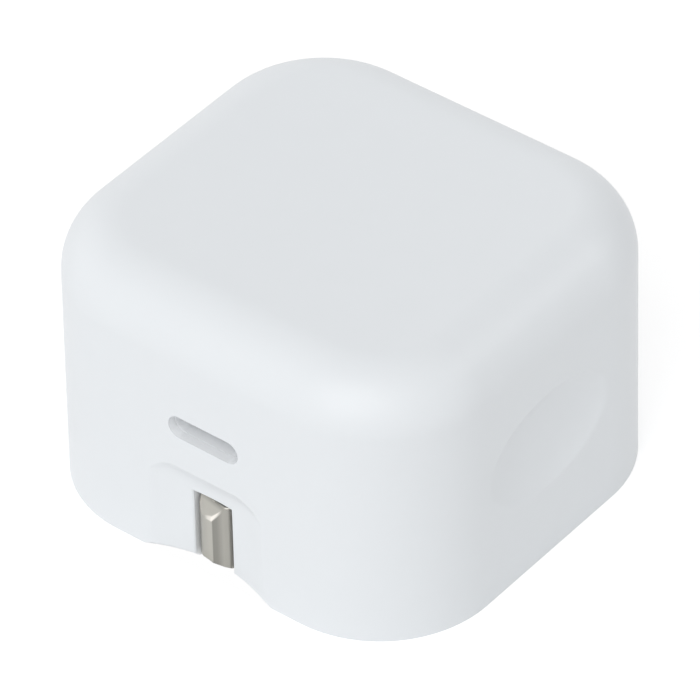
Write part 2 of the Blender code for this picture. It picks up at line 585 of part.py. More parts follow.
# --------------------------------------- pin plate
def build_pin_plate(finish):
    outline = rounded_rectangle(PLATE_X, PLATE_Y, CORNER_RADIUS - RIM_WALL - SEAT_GAP, CORNER_STEPS)
    plate = add_piece("pin_plate", prism(outline, "z", 0.0, PLATE_THICKNESS), finish)
    inside = PLATE_THICKNESS / 2  # depth at which what stands on the plate begins
    cut(plate, "backing_notch", backing_block(SEAT_GAP))

    front_y = BACKING_Y + SEAT_GAP
    front_half = EARTH_SLOT_X + WELL_WALL
    front_well = block((-front_half, front_half), (front_y, front_y + FRONT_WELL_LENGTH),
                       (inside, FRONT_WELL_ROOF + WELL_WALL))
    join(plate, "front_well", front_well)
    for side_name, side in SIDES:
        line_x = side * LINE_X
        well_outer = WELL_HALF_WIDTH + WELL_WALL
        well = block((line_x - well_outer, line_x + well_outer), (WELL_START_Y, WELL_END_Y + WELL_WALL),
                     (inside, WELL_ROOF_Z + WELL_WALL))
        join(plate, f"line_well_{side_name}", well)
        post_x = sorted((side * POST_X, side * POST_END_X))
        post_half = TRUNNION_RADIUS + BORE_GAP + POST_WALL
        post = block(post_x, (LINE_PIVOT_Y - post_half, LINE_PIVOT_Y + post_half),
                     (inside, LINE_PIVOT_Z + TRUNNION_RADIUS + POST_RISE))
        join(plate, f"trunnion_post_{side_name}", post)
        for end_name, end in (("front", -1), ("back", 1)):
            join(plate, f"boss_{side_name}_{end_name}",
                 cylinder(BOSS_RADIUS, "z", inside, BOSS_TOP, (side * BOSS_X, end * BOSS_Y)))

    below = -PLATE_THICKNESS
    cut(plate, "earth_pin_slot",
        block((-EARTH_SLOT_X, EARTH_SLOT_X), (-HALF_DEPTH, EARTH_FACE_Y), (below, FRONT_WELL_ROOF)))
    carrier_opening_end = EARTH_PIVOT_Y + EARTH_PIVOT_Z - EARTH_BLOCK_BOTTOM + RUN_GAP
    carrier_opening_x = EARTH_BLOCK_X + RUN_GAP
    cut(plate, "earth_carrier_opening",
        block((-carrier_opening_x, carrier_opening_x), (EARTH_FACE_Y - RUN_GAP, carrier_opening_end),
              (below, 2 * PLATE_THICKNESS)))
    for side_name, side in SIDES:
        line_x = side * LINE_X
        channel = block((line_x - WELL_HALF_WIDTH, line_x + WELL_HALF_WIDTH), (LINE_PIVOT_Y, WELL_END_Y),
                        (below, WELL_ROOF_Z))
        cut(plate, f"line_channel_{side_name}", channel)
        yoke_x = sorted((side * (YOKE_INNER_X - RUN_GAP), side * (YOKE_OUTER_X + RUN_GAP)))
        cut(plate, f"yoke_opening_{side_name}",
            block(yoke_x, (YOKE_SLOT_START_Y, WELL_START_Y), (below, 2 * LINE_PIVOT_Z)))
        saddle_radius = TRUNNION_RADIUS + BORE_GAP
        saddle_x = sorted((side * (YOKE_OUTER_X - RUN_GAP), side * (POST_END_X + POST_WALL)))
        saddle_top = LINE_PIVOT_Z + 2 * (TRUNNION_RADIUS + POST_RISE)
        saddle = arc((LINE_PIVOT_Y, LINE_PIVOT_Z), saddle_radius, pi, 2 * pi, ROUND_SIDES // 2)
        saddle += [(LINE_PIVOT_Y + saddle_radius, saddle_top), (LINE_PIVOT_Y - saddle_radius, saddle_top)]
        cut(plate, f"trunnion_saddle_{side_name}", prism(saddle, "x", *saddle_x))
        for end_name, end in (("front", -1), ("back", 1)):
            cut(plate, f"screw_hole_{side_name}_{end_name}",
                cylinder(SCREW_RADIUS + BORE_GAP, "z", BOSS_TOP - SCREW_GRIP - PLATE_THICKNESS / 2,
                         FRAME_TOP, (side * BOSS_X, end * BOSS_Y), ROUND_SIDES // 2))
    return plate


# --------------------------------------- pins
def stepped_pin(width, thickness, tip_y, shoulder_y, root_y, center, neck, sleeve_end=None):
    """Pin along Y: a chamfered blade from its tip to the shoulder, then a smaller root.

    With a sleeve end, the blade is thinned from there to the shoulder to take the sleeve.
    """
    toward_root = 1 if root_y > tip_y else -1
    chamfer = toward_root * PIN_CHAMFER
    stations = [(tip_y, PIN_CHAMFER), (tip_y + chamfer, 0.0)]
    if sleeve_end is not None:
        stations += [(sleeve_end, 0.0), (sleeve_end, SLEEVE_WALL + BORE_GAP)]
        stations.append((shoulder_y, SLEEVE_WALL + BORE_GAP))
    else:
        stations.append((shoulder_y, 0.0))
    stations += [(shoulder_y, neck), (root_y, neck)]
    rings = []
    for y, step in stations:
        half_x = width / 2 - step
        half_z = thickness / 2 - step
        corners = ((half_x, half_z), (-half_x, half_z), (-half_x, -half_z), (half_x, -half_z))
        rings.append([(center[0] + x, y, center[1] + z) for x, z in corners])
    return loft(rings)


def build_earth_pin(metal):
    pin = stepped_pin(EARTH_PIN_WIDTH, EARTH_PIN_DEPTH, EARTH_TIP_Y, EARTH_FACE_Y, EARTH_ROOT_Y,
                      (0.0, EARTH_Z), PIN_NECK_STEP)
    return add_piece("earth_pin", pin, metal)


def build_line_pin(name, side, metal):
    sleeve_end = LINE_PIVOT_Y + LINE_PIVOT_Z + SLEEVE_REACH + BORE_GAP
    pin = stepped_pin(LINE_PIN_WIDTH, LINE_PIN_THICKNESS, LINE_TIP_Y, YOKE_FACE_Y + BORE_GAP, YOKE_BACK_Y,
                      (side * LINE_X, LINE_Z), PIN_NECK_STEP, sleeve_end)
    return add_piece(name, pin, metal)


def build_sleeve(name, side, finish):
    start = YOKE_FACE_Y + BORE_GAP
    end = LINE_PIVOT_Y + LINE_PIVOT_Z + SLEEVE_REACH
    half_x = LINE_PIN_WIDTH / 2
    half_z = LINE_PIN_THICKNESS / 2
    center_x = side * LINE_X
    outside = block((center_x - half_x, center_x + half_x), (start, end), (LINE_Z - half_z, LINE_Z + half_z))
    sleeve = add_piece(name, outside, finish)
    bore_x = half_x - SLEEVE_WALL
    bore_z = half_z - SLEEVE_WALL
    cut(sleeve, "bore", block((center_x - bore_x, center_x + bore_x), (start - WALL, end + WALL),
                              (LINE_Z - bore_z, LINE_Z + bore_z)))
    return sleeve


# --------------------------------------- earth carrier
def build_earth_carrier(finish):
    pivot = (EARTH_PIVOT_Y, EARTH_PIVOT_Z)
    block_end_angle = pi - asin(EARTH_BLOCK_TOP / EARTH_HUB_RADIUS)
    outline = [(EARTH_FACE_Y, EARTH_BLOCK_BOTTOM), (EARTH_PIVOT_Y + EARTH_HUB_RADIUS, EARTH_BLOCK_BOTTOM)]
    outline += arc(pivot, EARTH_HUB_RADIUS, 0.0, block_end_angle, ROUND_SIDES // 2)
    outline.append((EARTH_FACE_Y, EARTH_PIVOT_Z + EARTH_BLOCK_TOP))
    carrier = add_piece("earth_carrier", prism(outline, "x", -EARTH_BLOCK_X, EARTH_BLOCK_X), finish)
    tooth_step = 2 * pi / GEAR_TEETH_PER_TURN
    lowest = 3 * pi / 2
    teeth = [lowest - (SECTOR_TEETH - 1 - tooth) * tooth_step for tooth in range(SECTOR_TEETH)]
    for side_name, side in SIDES:
        hub_x = sorted((side * (EARTH_BLOCK_X - CARRIER_WALL / 2), side * HUB_END_X))
        join(carrier, f"hub_{side_name}", cylinder(EARTH_HUB_RADIUS - BORE_GAP, "x", *hub_x, pivot))
        gear_x = sorted((side * GEAR_INNER_X, side * GEAR_OUTER_X))
        join(carrier, f"gear_{side_name}", prism(gear_sector(pivot, teeth), "x", *gear_x))
    cut(carrier, "axle_bore", cylinder(AXLE_RADIUS + BORE_GAP, "x", -2 * HUB_END_X, 2 * HUB_END_X, pivot))
    root_x = EARTH_PIN_WIDTH / 2 - PIN_NECK_STEP + BORE_GAP
    root_z = EARTH_PIN_DEPTH / 2 - PIN_NECK_STEP + BORE_GAP
    pocket = block((-root_x, root_x), (EARTH_FACE_Y - CARRIER_WALL, EARTH_ROOT_Y + BORE_GAP),
                   (EARTH_Z - root_z, EARTH_Z + root_z))
    cut(carrier, "pin_pocket", pocket)
    shoulder = block((-EARTH_PIN_WIDTH, EARTH_PIN_WIDTH),
                     (EARTH_FACE_Y - CARRIER_WALL, EARTH_FACE_Y + BORE_GAP),
                     (-EARTH_PIN_DEPTH, 2 * EARTH_PIN_DEPTH))
    cut(carrier, "shoulder_clearance", shoulder)
    return carrier


# --------------------------------------- yoke of the line pins
def build_pin_yoke(finish):
    pivot = (LINE_PIVOT_Y, LINE_PIVOT_Z)
    top_z = LINE_PIVOT_Z + YOKE_HUB_RADIUS
    outline = [(YOKE_FACE_Y, PIN_RECESS), (YOKE_FACE_Y, top_z)]
    outline += arc(pivot, YOKE_HUB_RADIUS, pi / 2, pi, ROUND_SIDES // 4)
    outline.append((YOKE_BACK_Y, PIN_RECESS))
    shaft_radius = YOKE_HUB_RADIUS - BORE_GAP
    shaft = cylinder(shaft_radius, "x", BRIDGE_X - ARM_THICKNESS, YOKE_INNER_X + YOKE_SIDE_WALL, pivot)
    yoke = add_piece("pin_yoke", shaft, finish)
    tooth_step = 2 * pi / GEAR_TEETH_PER_TURN
    teeth = [pi / 2 + tooth * tooth_step for tooth in range(SECTOR_TEETH)]
    bridge_top = BRIDGE_Z + BRIDGE_THICKNESS
    for side_name, side in SIDES:
        if side < 0:
            shaft_x = (-YOKE_INNER_X - YOKE_SIDE_WALL, -BRIDGE_X + ARM_THICKNESS)
            join(yoke, "shaft_left", cylinder(shaft_radius, "x", *shaft_x, pivot))
        arm_x = sorted((side * (BRIDGE_X - ARM_THICKNESS + BORE_GAP), side * (BRIDGE_X - BORE_GAP)))
        arm_y = (LINE_PIVOT_Y - ARM_HALF_LENGTH, LINE_PIVOT_Y + ARM_HALF_LENGTH)
        join(yoke, f"arm_{side_name}", block(arm_x, arm_y, (LINE_PIVOT_Z, bridge_top - BORE_GAP)))
        gear_x = sorted((side * GEAR_INNER_X, side * GEAR_OUTER_X))
        join(yoke, f"gear_{side_name}", prism(gear_sector(pivot, teeth), "x", *gear_x))
        block_x = sorted((side * YOKE_INNER_X, side * YOKE_OUTER_X))
        join(yoke, f"pin_block_{side_name}", prism(outline, "x", *block_x))
        trunnion_x = sorted((side * (YOKE_OUTER_X - YOKE_SIDE_WALL), side * TRUNNION_END_X))
        join(yoke, f"trunnion_{side_name}", cylinder(TRUNNION_RADIUS, "x", *trunnion_x, pivot))
    bridge_half_length = ARM_HALF_LENGTH - BORE_GAP
    join(yoke, "bridge", block((-BRIDGE_X, BRIDGE_X),
                               (LINE_PIVOT_Y - bridge_half_length, LINE_PIVOT_Y + bridge_half_length),
                               (BRIDGE_Z, bridge_top)))
    root_x = LINE_PIN_WIDTH / 2 - PIN_NECK_STEP + BORE_GAP
    root_z = LINE_PIN_THICKNESS / 2 - PIN_NECK_STEP + BORE_GAP
    for side_name, side in SIDES:
        pocket = block((side * LINE_X - root_x, side * LINE_X + root_x),
                       (YOKE_BACK_Y - CARRIER_WALL, YOKE_FACE_Y + CARRIER_WALL),
                       (LINE_Z - root_z, LINE_Z + root_z))
        cut(yoke, f"pin_pocket_{side_name}", pocket)
    return yoke


# --------------------------------------- slider with both racks
def build_drive_slider(finish):
    low_root = LOW_RACK_PITCH_Z - TOOTH_DEDENDUM * GEAR_MODULE
    high_root = HIGH_RACK_PITCH_Z + TOOTH_DEDENDUM * GEAR_MODULE
    low_end_y = EARTH_PIVOT_Y + RACK_PITCH
    outline = [(RISER_BACK_Y, SLIDER_BOTTOM), (low_end_y, SLIDER_BOTTOM), (low_end_y, low_root)]
    outline += rack_teeth(EARTH_PIVOT_Y, LOW_RACK_PITCH_Z, 1)
    outline += [(RISER_FRONT_Y, low_root), (RISER_FRONT_Y, SLIDER_TOP)]
    outline += [(HIGH_RACK_START_Y, SLIDER_TOP), (HIGH_RACK_START_Y, high_root)]
    outline += list(reversed(rack_teeth(LINE_PIVOT_Y, HIGH_RACK_PITCH_Z, -1)))
    outline.append((RISER_BACK_Y, high_root))
    slider = add_piece("drive_slider", prism(outline, "x", GEAR_INNER_X, GEAR_OUTER_X), finish)
    join(slider, "left_bar", prism(outline, "x", -GEAR_OUTER_X, -GEAR_INNER_X))
    bar_x = GEAR_INNER_X + GEAR_WIDTH / 2
    bar_y = (HIGH_RACK_START_Y + BORE_GAP, HIGH_RACK_START_Y + CROSS_BAR_LENGTH)
    bar_bottom = FRONT_WELL_ROOF + WELL_WALL + RUN_GAP
    join(slider, "cross_bar", block((-bar_x, bar_x), bar_y, (bar_bottom, SLIDER_TOP - BORE_GAP)))
    return slider


# --------------------------------------- mechanism frame and what it holds
def build_mechanism_frame(finish):
    margin = 2 * RUN_GAP
    outline = rounded_rectangle(CAVITY_X - margin, CAVITY_Y - margin, CORNER_RADIUS - WALL - margin,
                                INNER_STEPS)
    frame = add_piece("mechanism_frame", prism(outline, "z", FRAME_BOTTOM, FRAME_TOP), finish)
    inside = FRAME_BOTTOM + FRAME_THICKNESS / 2
    cut(frame, "backing_notch", backing_block(2 * SEAT_GAP))
    rail_x = GEAR_INNER_X + GEAR_WIDTH / 2
    for side_name, side in SIDES:
        lug_x = sorted((side * LUG_X, side * LUG_END_X))
        lug_y = (EARTH_PIVOT_Y - LUG_HALF_WIDTH, EARTH_PIVOT_Y + LUG_HALF_WIDTH)
        join(frame, f"axle_lug_{side_name}", block(lug_x, lug_y, (EARTH_PIVOT_Z - LUG_HALF_WIDTH, inside)))
        finger_x = sorted((side * (POST_X + BORE_GAP), side * (POST_END_X - BORE_GAP)))
        finger_half = TRUNNION_RADIUS + BORE_GAP - RUN_GAP
        finger_y = (LINE_PIVOT_Y - finger_half, LINE_PIVOT_Y + finger_half)
        finger = block(finger_x, finger_y, (LINE_PIVOT_Z + TRUNNION_RADIUS + BORE_GAP, inside))
        join(frame, f"trunnion_cap_{side_name}", finger)
        rail_range = sorted((side * (rail_x - RAIL_WIDTH / 2), side * (rail_x + RAIL_WIDTH / 2)))
        rail = block(rail_range, (HIGH_RACK_START_Y, RISER_FRONT_Y), (SLIDER_TOP + RUN_GAP, inside))
        join(frame, f"rack_rail_{side_name}", rail)
        for end_name, end in (("front", -1), ("back", 1)):
            post_at = (side * (CAVITY_X - BOARD_POST_INSET), end * BOARD_POST_Y)
            join(frame, f"board_post_{side_name}_{end_name}",
                 cylinder(BOARD_POST_RADIUS, "z", inside, BOARD_BOTTOM - SEAT_GAP, post_at, ROUND_SIDES // 2))
            cut(frame, f"screw_hole_{side_name}_{end_name}",
                cylinder(SCREW_RADIUS + BORE_GAP, "z", FRAME_BOTTOM - WALL, FRAME_TOP + WALL,
                         (side * BOSS_X, end * BOSS_Y), ROUND_SIDES // 2))
        leg_x = (side * LINE_X - CONTACT_WIDTH / 2 - RUN_GAP, side * LINE_X + CONTACT_WIDTH / 2 + RUN_GAP)
        leg_y = (CONTACT_LEG_Y - RUN_GAP, CONTACT_LEG_Y + CONTACT_THICKNESS + RUN_GAP)
        cut(frame, f"contact_slot_{side_name}", block(leg_x, leg_y, (FRAME_BOTTOM - WALL, FRAME_TOP + WALL)))
    cut(frame, "axle_bore", cylinder(AXLE_RADIUS + BORE_GAP, "x", -2 * LUG_END_X, 2 * LUG_END_X,
                                     (EARTH_PIVOT_Y, EARTH_PIVOT_Z)))
    return frame


def build_frame_screws(metal):
    head_bottom = FRAME_TOP + SEAT_GAP
    head_top = head_bottom + SCREW_HEAD_HEIGHT
    profile = [(0.0, head_top), (SCREW_HEAD_RADIUS * 0.7, head_top),
               (SCREW_HEAD_RADIUS, head_bottom + SEAT_GAP), (SCREW_HEAD_RADIUS, head_bottom),
               (SCREW_RADIUS, head_bottom),
               (SCREW_RADIUS, BOSS_TOP - SCREW_GRIP + SCREW_RADIUS), (0.0, BOSS_TOP - SCREW_GRIP)]
    corners = [(x * BOSS_X, y * BOSS_Y) for x in (-1, 1) for y in (-1, 1)]
    for number, corner in enumerate(corners):
        add_piece(f"frame_screw_{number + 1}", turned(profile, corner, ROUND_SIDES // 2), metal)


def strip(points, thickness):
    """Outline of a bent strip of even thickness above a centre line drawn in y, z."""
    return points + [(y, z + thickness) for y, z in reversed(points)]


def build_detent_spring(metal):
    """Leaf under the frame whose hump the slider's cross bar has to pass half way."""
    hump_y = HIGH_RACK_START_Y + CROSS_BAR_LENGTH / 2 + SLIDE_TRAVEL / 2
    low = SLIDER_TOP + RUN_GAP - BORE_GAP
    high = FRAME_BOTTOM - SEAT_GAP - SPRING_THICKNESS
    half = SPRING_LENGTH / 2
    line = [(hump_y - half, high), (hump_y - half / 3, high), (hump_y - half / 9, low),
            (hump_y + half / 9, low), (hump_y + half / 3, high), (hump_y + half, high)]
    leaf = prism(strip(line, SPRING_THICKNESS), "x", -SPRING_WIDTH / 2, SPRING_WIDTH / 2)
    return add_piece("detent_spring", leaf, metal)


def build_contact(name, side, metal):
    """Bent leaf over the yoke's pin block, with a leg up through the frame to the board."""
    leg_top = BOARD_TOP + CONTACT_STAND
    leg_y = CONTACT_LEG_Y + CONTACT_THICKNESS
    outline = [(leg_y - CONTACT_LEAF, CONTACT_Z + CONTACT_THICKNESS), (leg_y - CONTACT_LEAF / 2, CONTACT_Z),
               (leg_y, CONTACT_Z), (leg_y, leg_top), (CONTACT_LEG_Y, leg_top),
               (CONTACT_LEG_Y, CONTACT_Z + CONTACT_THICKNESS),
               (leg_y - CONTACT_LEAF / 2, CONTACT_Z + CONTACT_THICKNESS),
               (leg_y - CONTACT_LEAF, CONTACT_Z + 2 * CONTACT_THICKNESS)]
    center_x = side * LINE_X
    bm = prism(outline, "x", center_x - CONTACT_WIDTH / 2, center_x + CONTACT_WIDTH / 2)
    return add_piece(name, bm, metal)


# --------------------------------------- socket
def build_socket(steel, plastic):
    center = (0.0, PORT_CENTER_Z)
    outer = rounded_rectangle(SOCKET_OUTER_X, SOCKET_OUTER_Z, SOCKET_OUTER_Z, INNER_STEPS, center)
    inner = rounded_rectangle(SOCKET_WIDTH / 2, SOCKET_HEIGHT / 2, SOCKET_HEIGHT / 2, INNER_STEPS, center)
    back_y = SOCKET_FRONT_Y + SOCKET_LENGTH
    shell = add_piece("usb_shell", prism(outer, "y", SOCKET_FRONT_Y, back_y), steel)
    cut(shell, "bore", prism(inner, "y", SOCKET_FRONT_Y - WALL, back_y + WALL))

    base_half_z = SOCKET_HEIGHT / 2 - SEAT_GAP
    base = rounded_rectangle(SOCKET_WIDTH / 2 - SEAT_GAP, base_half_z, base_half_z, INNER_STEPS, center)
    base_y = back_y - TONGUE_BASE_LENGTH
    tongue = add_piece("usb_tongue", prism(base, "y", base_y, back_y), plastic)
    blade = block((-TONGUE_WIDTH / 2, TONGUE_WIDTH / 2), (base_y - TONGUE_LENGTH, base_y + SEAT_GAP),
                  (PORT_CENTER_Z - TONGUE_THICKNESS / 2, PORT_CENTER_Z + TONGUE_THICKNESS / 2))
    join(tongue, "blade", blade)
    return shell, tongue


# --------------------------------------- board and its components
def build_board(finish):
    outline = rounded_rectangle(BOARD_X, BOARD_Y, CORNER_RADIUS - WALL - 2 * RUN_GAP, INNER_STEPS)
    board = add_piece("main_board", prism(outline, "z", BOARD_BOTTOM, BOARD_TOP), finish)
    for side_name, side in SIDES:
        leg_x = (side * LINE_X - CONTACT_WIDTH / 2 - RUN_GAP, side * LINE_X + CONTACT_WIDTH / 2 + RUN_GAP)
        leg_y = (CONTACT_LEG_Y - RUN_GAP, CONTACT_LEG_Y + CONTACT_THICKNESS + RUN_GAP)
        cut(board, f"contact_hole_{side_name}", block(leg_x, leg_y, (BOARD_BOTTOM - WALL, BOARD_TOP + WALL)))
    return board


def build_transformer(ferrite, plastic, copper):
    """Ferrite core round a bobbin whose winding axis runs along Y."""
    middle_y = TRANSFORMER_MIDDLE_Y
    middle_z = (SEAT_Z + BOBBIN_TOP) / 2
    core_z = (middle_z - CORE_HALF_Z, middle_z + CORE_HALF_Z)
    core_y = (middle_y - CORE_HALF_Y, middle_y + CORE_HALF_Y)
    core = add_piece("transformer_core", block((-CORE_WIDTH / 2, CORE_WIDTH / 2), core_y, core_z), ferrite)
    window_y = (middle_y - WINDOW_HALF_Y, middle_y + WINDOW_HALF_Y)
    window_outer = CORE_WIDTH / 2 - CORE_LEG
    window_z = (core_z[0] - WALL, core_z[1] + WALL)
    for side_name, side in SIDES:
        window_x = sorted((side * CORE_LEG, side * window_outer))
        cut(core, f"window_{side_name}", block(window_x, window_y, window_z))

    flange_x = window_outer - SEAT_GAP
    flange_y = WINDOW_HALF_Y - SEAT_GAP
    tube_x = CORE_LEG + SEAT_GAP + BOBBIN_WALL
    tube_z = CORE_HALF_Z + SEAT_GAP + BOBBIN_WALL
    spool = block((-flange_x, flange_x), (middle_y - flange_y, middle_y + flange_y), (SEAT_Z, BOBBIN_TOP))
    bobbin = add_piece("transformer_bobbin", spool, plastic)
    groove_y = (middle_y - flange_y + BOBBIN_WALL, middle_y + flange_y - BOBBIN_WALL)
    groove = cut(bobbin, "groove",
                 block((-CORE_WIDTH, CORE_WIDTH), groove_y, (SEAT_Z - WALL, BOBBIN_TOP + WALL)))
    cut(groove, "tube", block((-tube_x, tube_x), (groove_y[0] - WALL, groove_y[1] + WALL),
                              (middle_z - tube_z, middle_z + tube_z)))
    leg_x = CORE_LEG + SEAT_GAP
    leg_z = CORE_HALF_Z + SEAT_GAP
    cut(bobbin, "leg_bore", block((-leg_x, leg_x), (middle_y - 2 * CORE_HALF_Y, middle_y + 2 * CORE_HALF_Y),
                                  (middle_z - leg_z, middle_z + leg_z)))

    wound = block((-flange_x + SEAT_GAP, flange_x - SEAT_GAP),
                  (groove_y[0] + SEAT_GAP, groove_y[1] - SEAT_GAP),
                  (SEAT_Z + BOBBIN_WALL, BOBBIN_TOP - BOBBIN_WALL), BOBBIN_WALL)
    coil = add_piece("transformer_winding", wound, copper)
    bore_x = tube_x + SEAT_GAP
    bore_z = tube_z + SEAT_GAP
    cut(coil, "bore", block((-bore_x, bore_x), (groove_y[0] - WALL, groove_y[1] + WALL),
                            (middle_z - bore_z, middle_z + bore_z)))


def build_can(name, radius, center, top, finish):
    """Electrolytic capacitor: a can with a rolled-in groove near its foot and a small top chamfer."""
    edge = radius / 12
    profile = [(0.0, top), (radius - edge, top), (radius, top - edge), (radius, SEAT_Z + 5 * edge),
               (radius - edge, SEAT_Z + 4 * edge), (radius, SEAT_Z + 3 * edge), (radius, SEAT_Z),
               (0.0, SEAT_Z)]
    return add_piece(name, turned(profile, center), finish)


def curved_tube(radius, tube_radius, start, end, center, steps, sides):
    """Rod of round section bent round an axis along X."""
    rings = []
    for step in range(steps + 1):
        angle = start + (end - start) * step / steps
        out = Vector((0.0, cos(angle), sin(angle)))
        middle = Vector(center) + radius * out
        turns = [2 * pi * side / sides for side in range(sides)]
        rings.append([middle + tube_radius * (cos(turn) * out + sin(turn) * Vector((1.0, 0.0, 0.0)))
                      for turn in turns])
    return loft(rings)


def build_choke(ferrite, copper):
    """Standing ring core with a winding on each half."""
    ring_radius = CHOKE_RADIUS * STRETCH_Y
    outer_radius = CHOKE_CORE_RADIUS + SEAT_GAP + CHOKE_WINDING_WALL
    center = (CAVITY_X - CHOKE_INSET_X, CHOKE_Y * STRETCH_Y, SEAT_Z + ring_radius + outer_radius)
    bm = bmesh.new()
    start = Vector((center[0], center[1] + ring_radius, center[2]))
    section = bmesh.ops.create_circle(bm, cap_ends=False, radius=CHOKE_CORE_RADIUS, segments=10,
                                      matrix=Matrix.Translation(start))
    ring_edges = {edge for vert in section["verts"] for edge in vert.link_edges}
    bmesh.ops.spin(bm, geom=section["verts"] + list(ring_edges), cent=center, axis=(1.0, 0.0, 0.0),
                   angle=2 * pi, steps=ROUND_SIDES, use_merge=True)
    bmesh.ops.remove_doubles(bm, verts=bm.verts, dist=1e-7)
    bmesh.ops.recalc_face_normals(bm, faces=bm.faces)
    add_piece("choke_core", bm, ferrite)

    overrun = radians(8)
    for number, middle in enumerate((0.0, pi)):
        start = middle - CHOKE_WINDING_SPAN / 2
        end = middle + CHOKE_WINDING_SPAN / 2
        coil = curved_tube(ring_radius, outer_radius, start, end, center, 10, 12)
        winding = add_piece(f"choke_winding_{number + 1}", coil, copper)
        cut(winding, "bore", curved_tube(ring_radius, CHOKE_CORE_RADIUS + SEAT_GAP, start - overrun,
                                         end + overrun, center, 12, 12))


def build_components(finishes):
    build_transformer(finishes["ferrite"], finishes["bobbin"], finishes["copper"])
    build_choke(finishes["ferrite"], finishes["copper"])
    bulk_top = SPREADER_BOTTOM - BULK_HEADROOM
    output_top = SEAT_Z + OUTPUT_CAN_HEIGHT * STRETCH_Z
    for number, (side_name, side) in enumerate(SIDES):
        bulk_at = (side * (CAVITY_X - BULK_CAN_INSET_X), BULK_CAN_Y * STRETCH_Y)
        build_can(f"bulk_capacitor_{number + 1}", BULK_CAN_RADIUS * STRETCH_Y, bulk_at, bulk_top,
                  finishes["can"])
        output_at = (side * OUTPUT_CAN_X, OUTPUT_CAN_Y * STRETCH_Y)
        build_can(f"output_capacitor_{number + 1}", OUTPUT_CAN_RADIUS * STRETCH_Y, output_at, output_top,
                  finishes["can"])
    for name, size, x, layout_y, bevel, finish in (
            ("filter_capacitor", FILTER_BOX, 0.0, FILTER_Y, 0.0004, "yellow"),
            ("input_fuse", FUSE_BOX, 0.0, FUSE_Y, 0.0004, "dark"),
            ("bridge_rectifier", BRIDGE_BOX, BRIDGE_INSET_X - CAVITY_X, BRIDGE_Y, 0.0002, "dark"),
            ("feedback_coupler", COUPLER_BOX, COUPLER_INSET_X - CAVITY_X, COUPLER_Y, 0.0002, "dark"),
            ("power_switch_chip", DRIVER_BOX, 0.0, DRIVER_Y, 0.0002, "dark"),
            ("output_rectifier_chip", RECTIFIER_BOX, CAVITY_X - RECTIFIER_INSET_X, RECTIFIER_Y, 0.0002,
             "dark")):
        add_piece(name, standing_box(size, x, layout_y, bevel), finishes[finish])

    disc_y = DISC_Y * STRETCH_Y
    disc = cylinder(DISC_RADIUS, "y", disc_y - DISC_THICKNESS / 2, disc_y + DISC_THICKNESS / 2,
                    (CAVITY_X - DISC_INSET_X, SEAT_Z + DISC_RADIUS))
    rim = [edge for edge in disc.edges if len({round(vert.co.y, 6) for vert in edge.verts}) == 1]
    bmesh.ops.bevel(disc, geom=rim, offset=DISC_THICKNESS / 4, segments=1, profile=0.5, affect="EDGES")
    add_piece("safety_capacitor", disc, finishes["blue"])
    barrier_y = BARRIER_Y * STRETCH_Y
    barrier = block((-BARRIER_WIDTH / 2, BARRIER_WIDTH / 2),
                    (barrier_y - BARRIER_THICKNESS / 2, barrier_y + BARRIER_THICKNESS / 2),
                    (SEAT_Z, SEAT_Z + BARRIER_HEIGHT * STRETCH_Z))
    add_piece("insulating_barrier", barrier, finishes["film"])

    flat_x = CAVITY_X - (TOP_FILLET - WALL) - SPREADER_MARGIN
    flat_y = CAVITY_Y - (TOP_FILLET - WALL) - SPREADER_MARGIN
    spreader = rounded_rectangle(flat_x, flat_y, CORNER_RADIUS - TOP_FILLET, INNER_STEPS)
    add_piece("heat_spreader", prism(spreader, "z", SPREADER_BOTTOM, SPREADER_TOP), finishes["aluminium"])
    pad_half = WINDOW_HALF_Y - SEAT_GAP
    pad_y = (TRANSFORMER_MIDDLE_Y - pad_half, TRANSFORMER_MIDDLE_Y + pad_half)
    add_piece("thermal_pad", block((-pad_half, pad_half), pad_y, (PAD_BOTTOM, PAD_TOP)), finishes["pad"])


# --------------------------------------- assembly
def clear_scene():
    for item in list(bpy.data.objects):
        bpy.data.objects.remove(item, do_unlink=True)


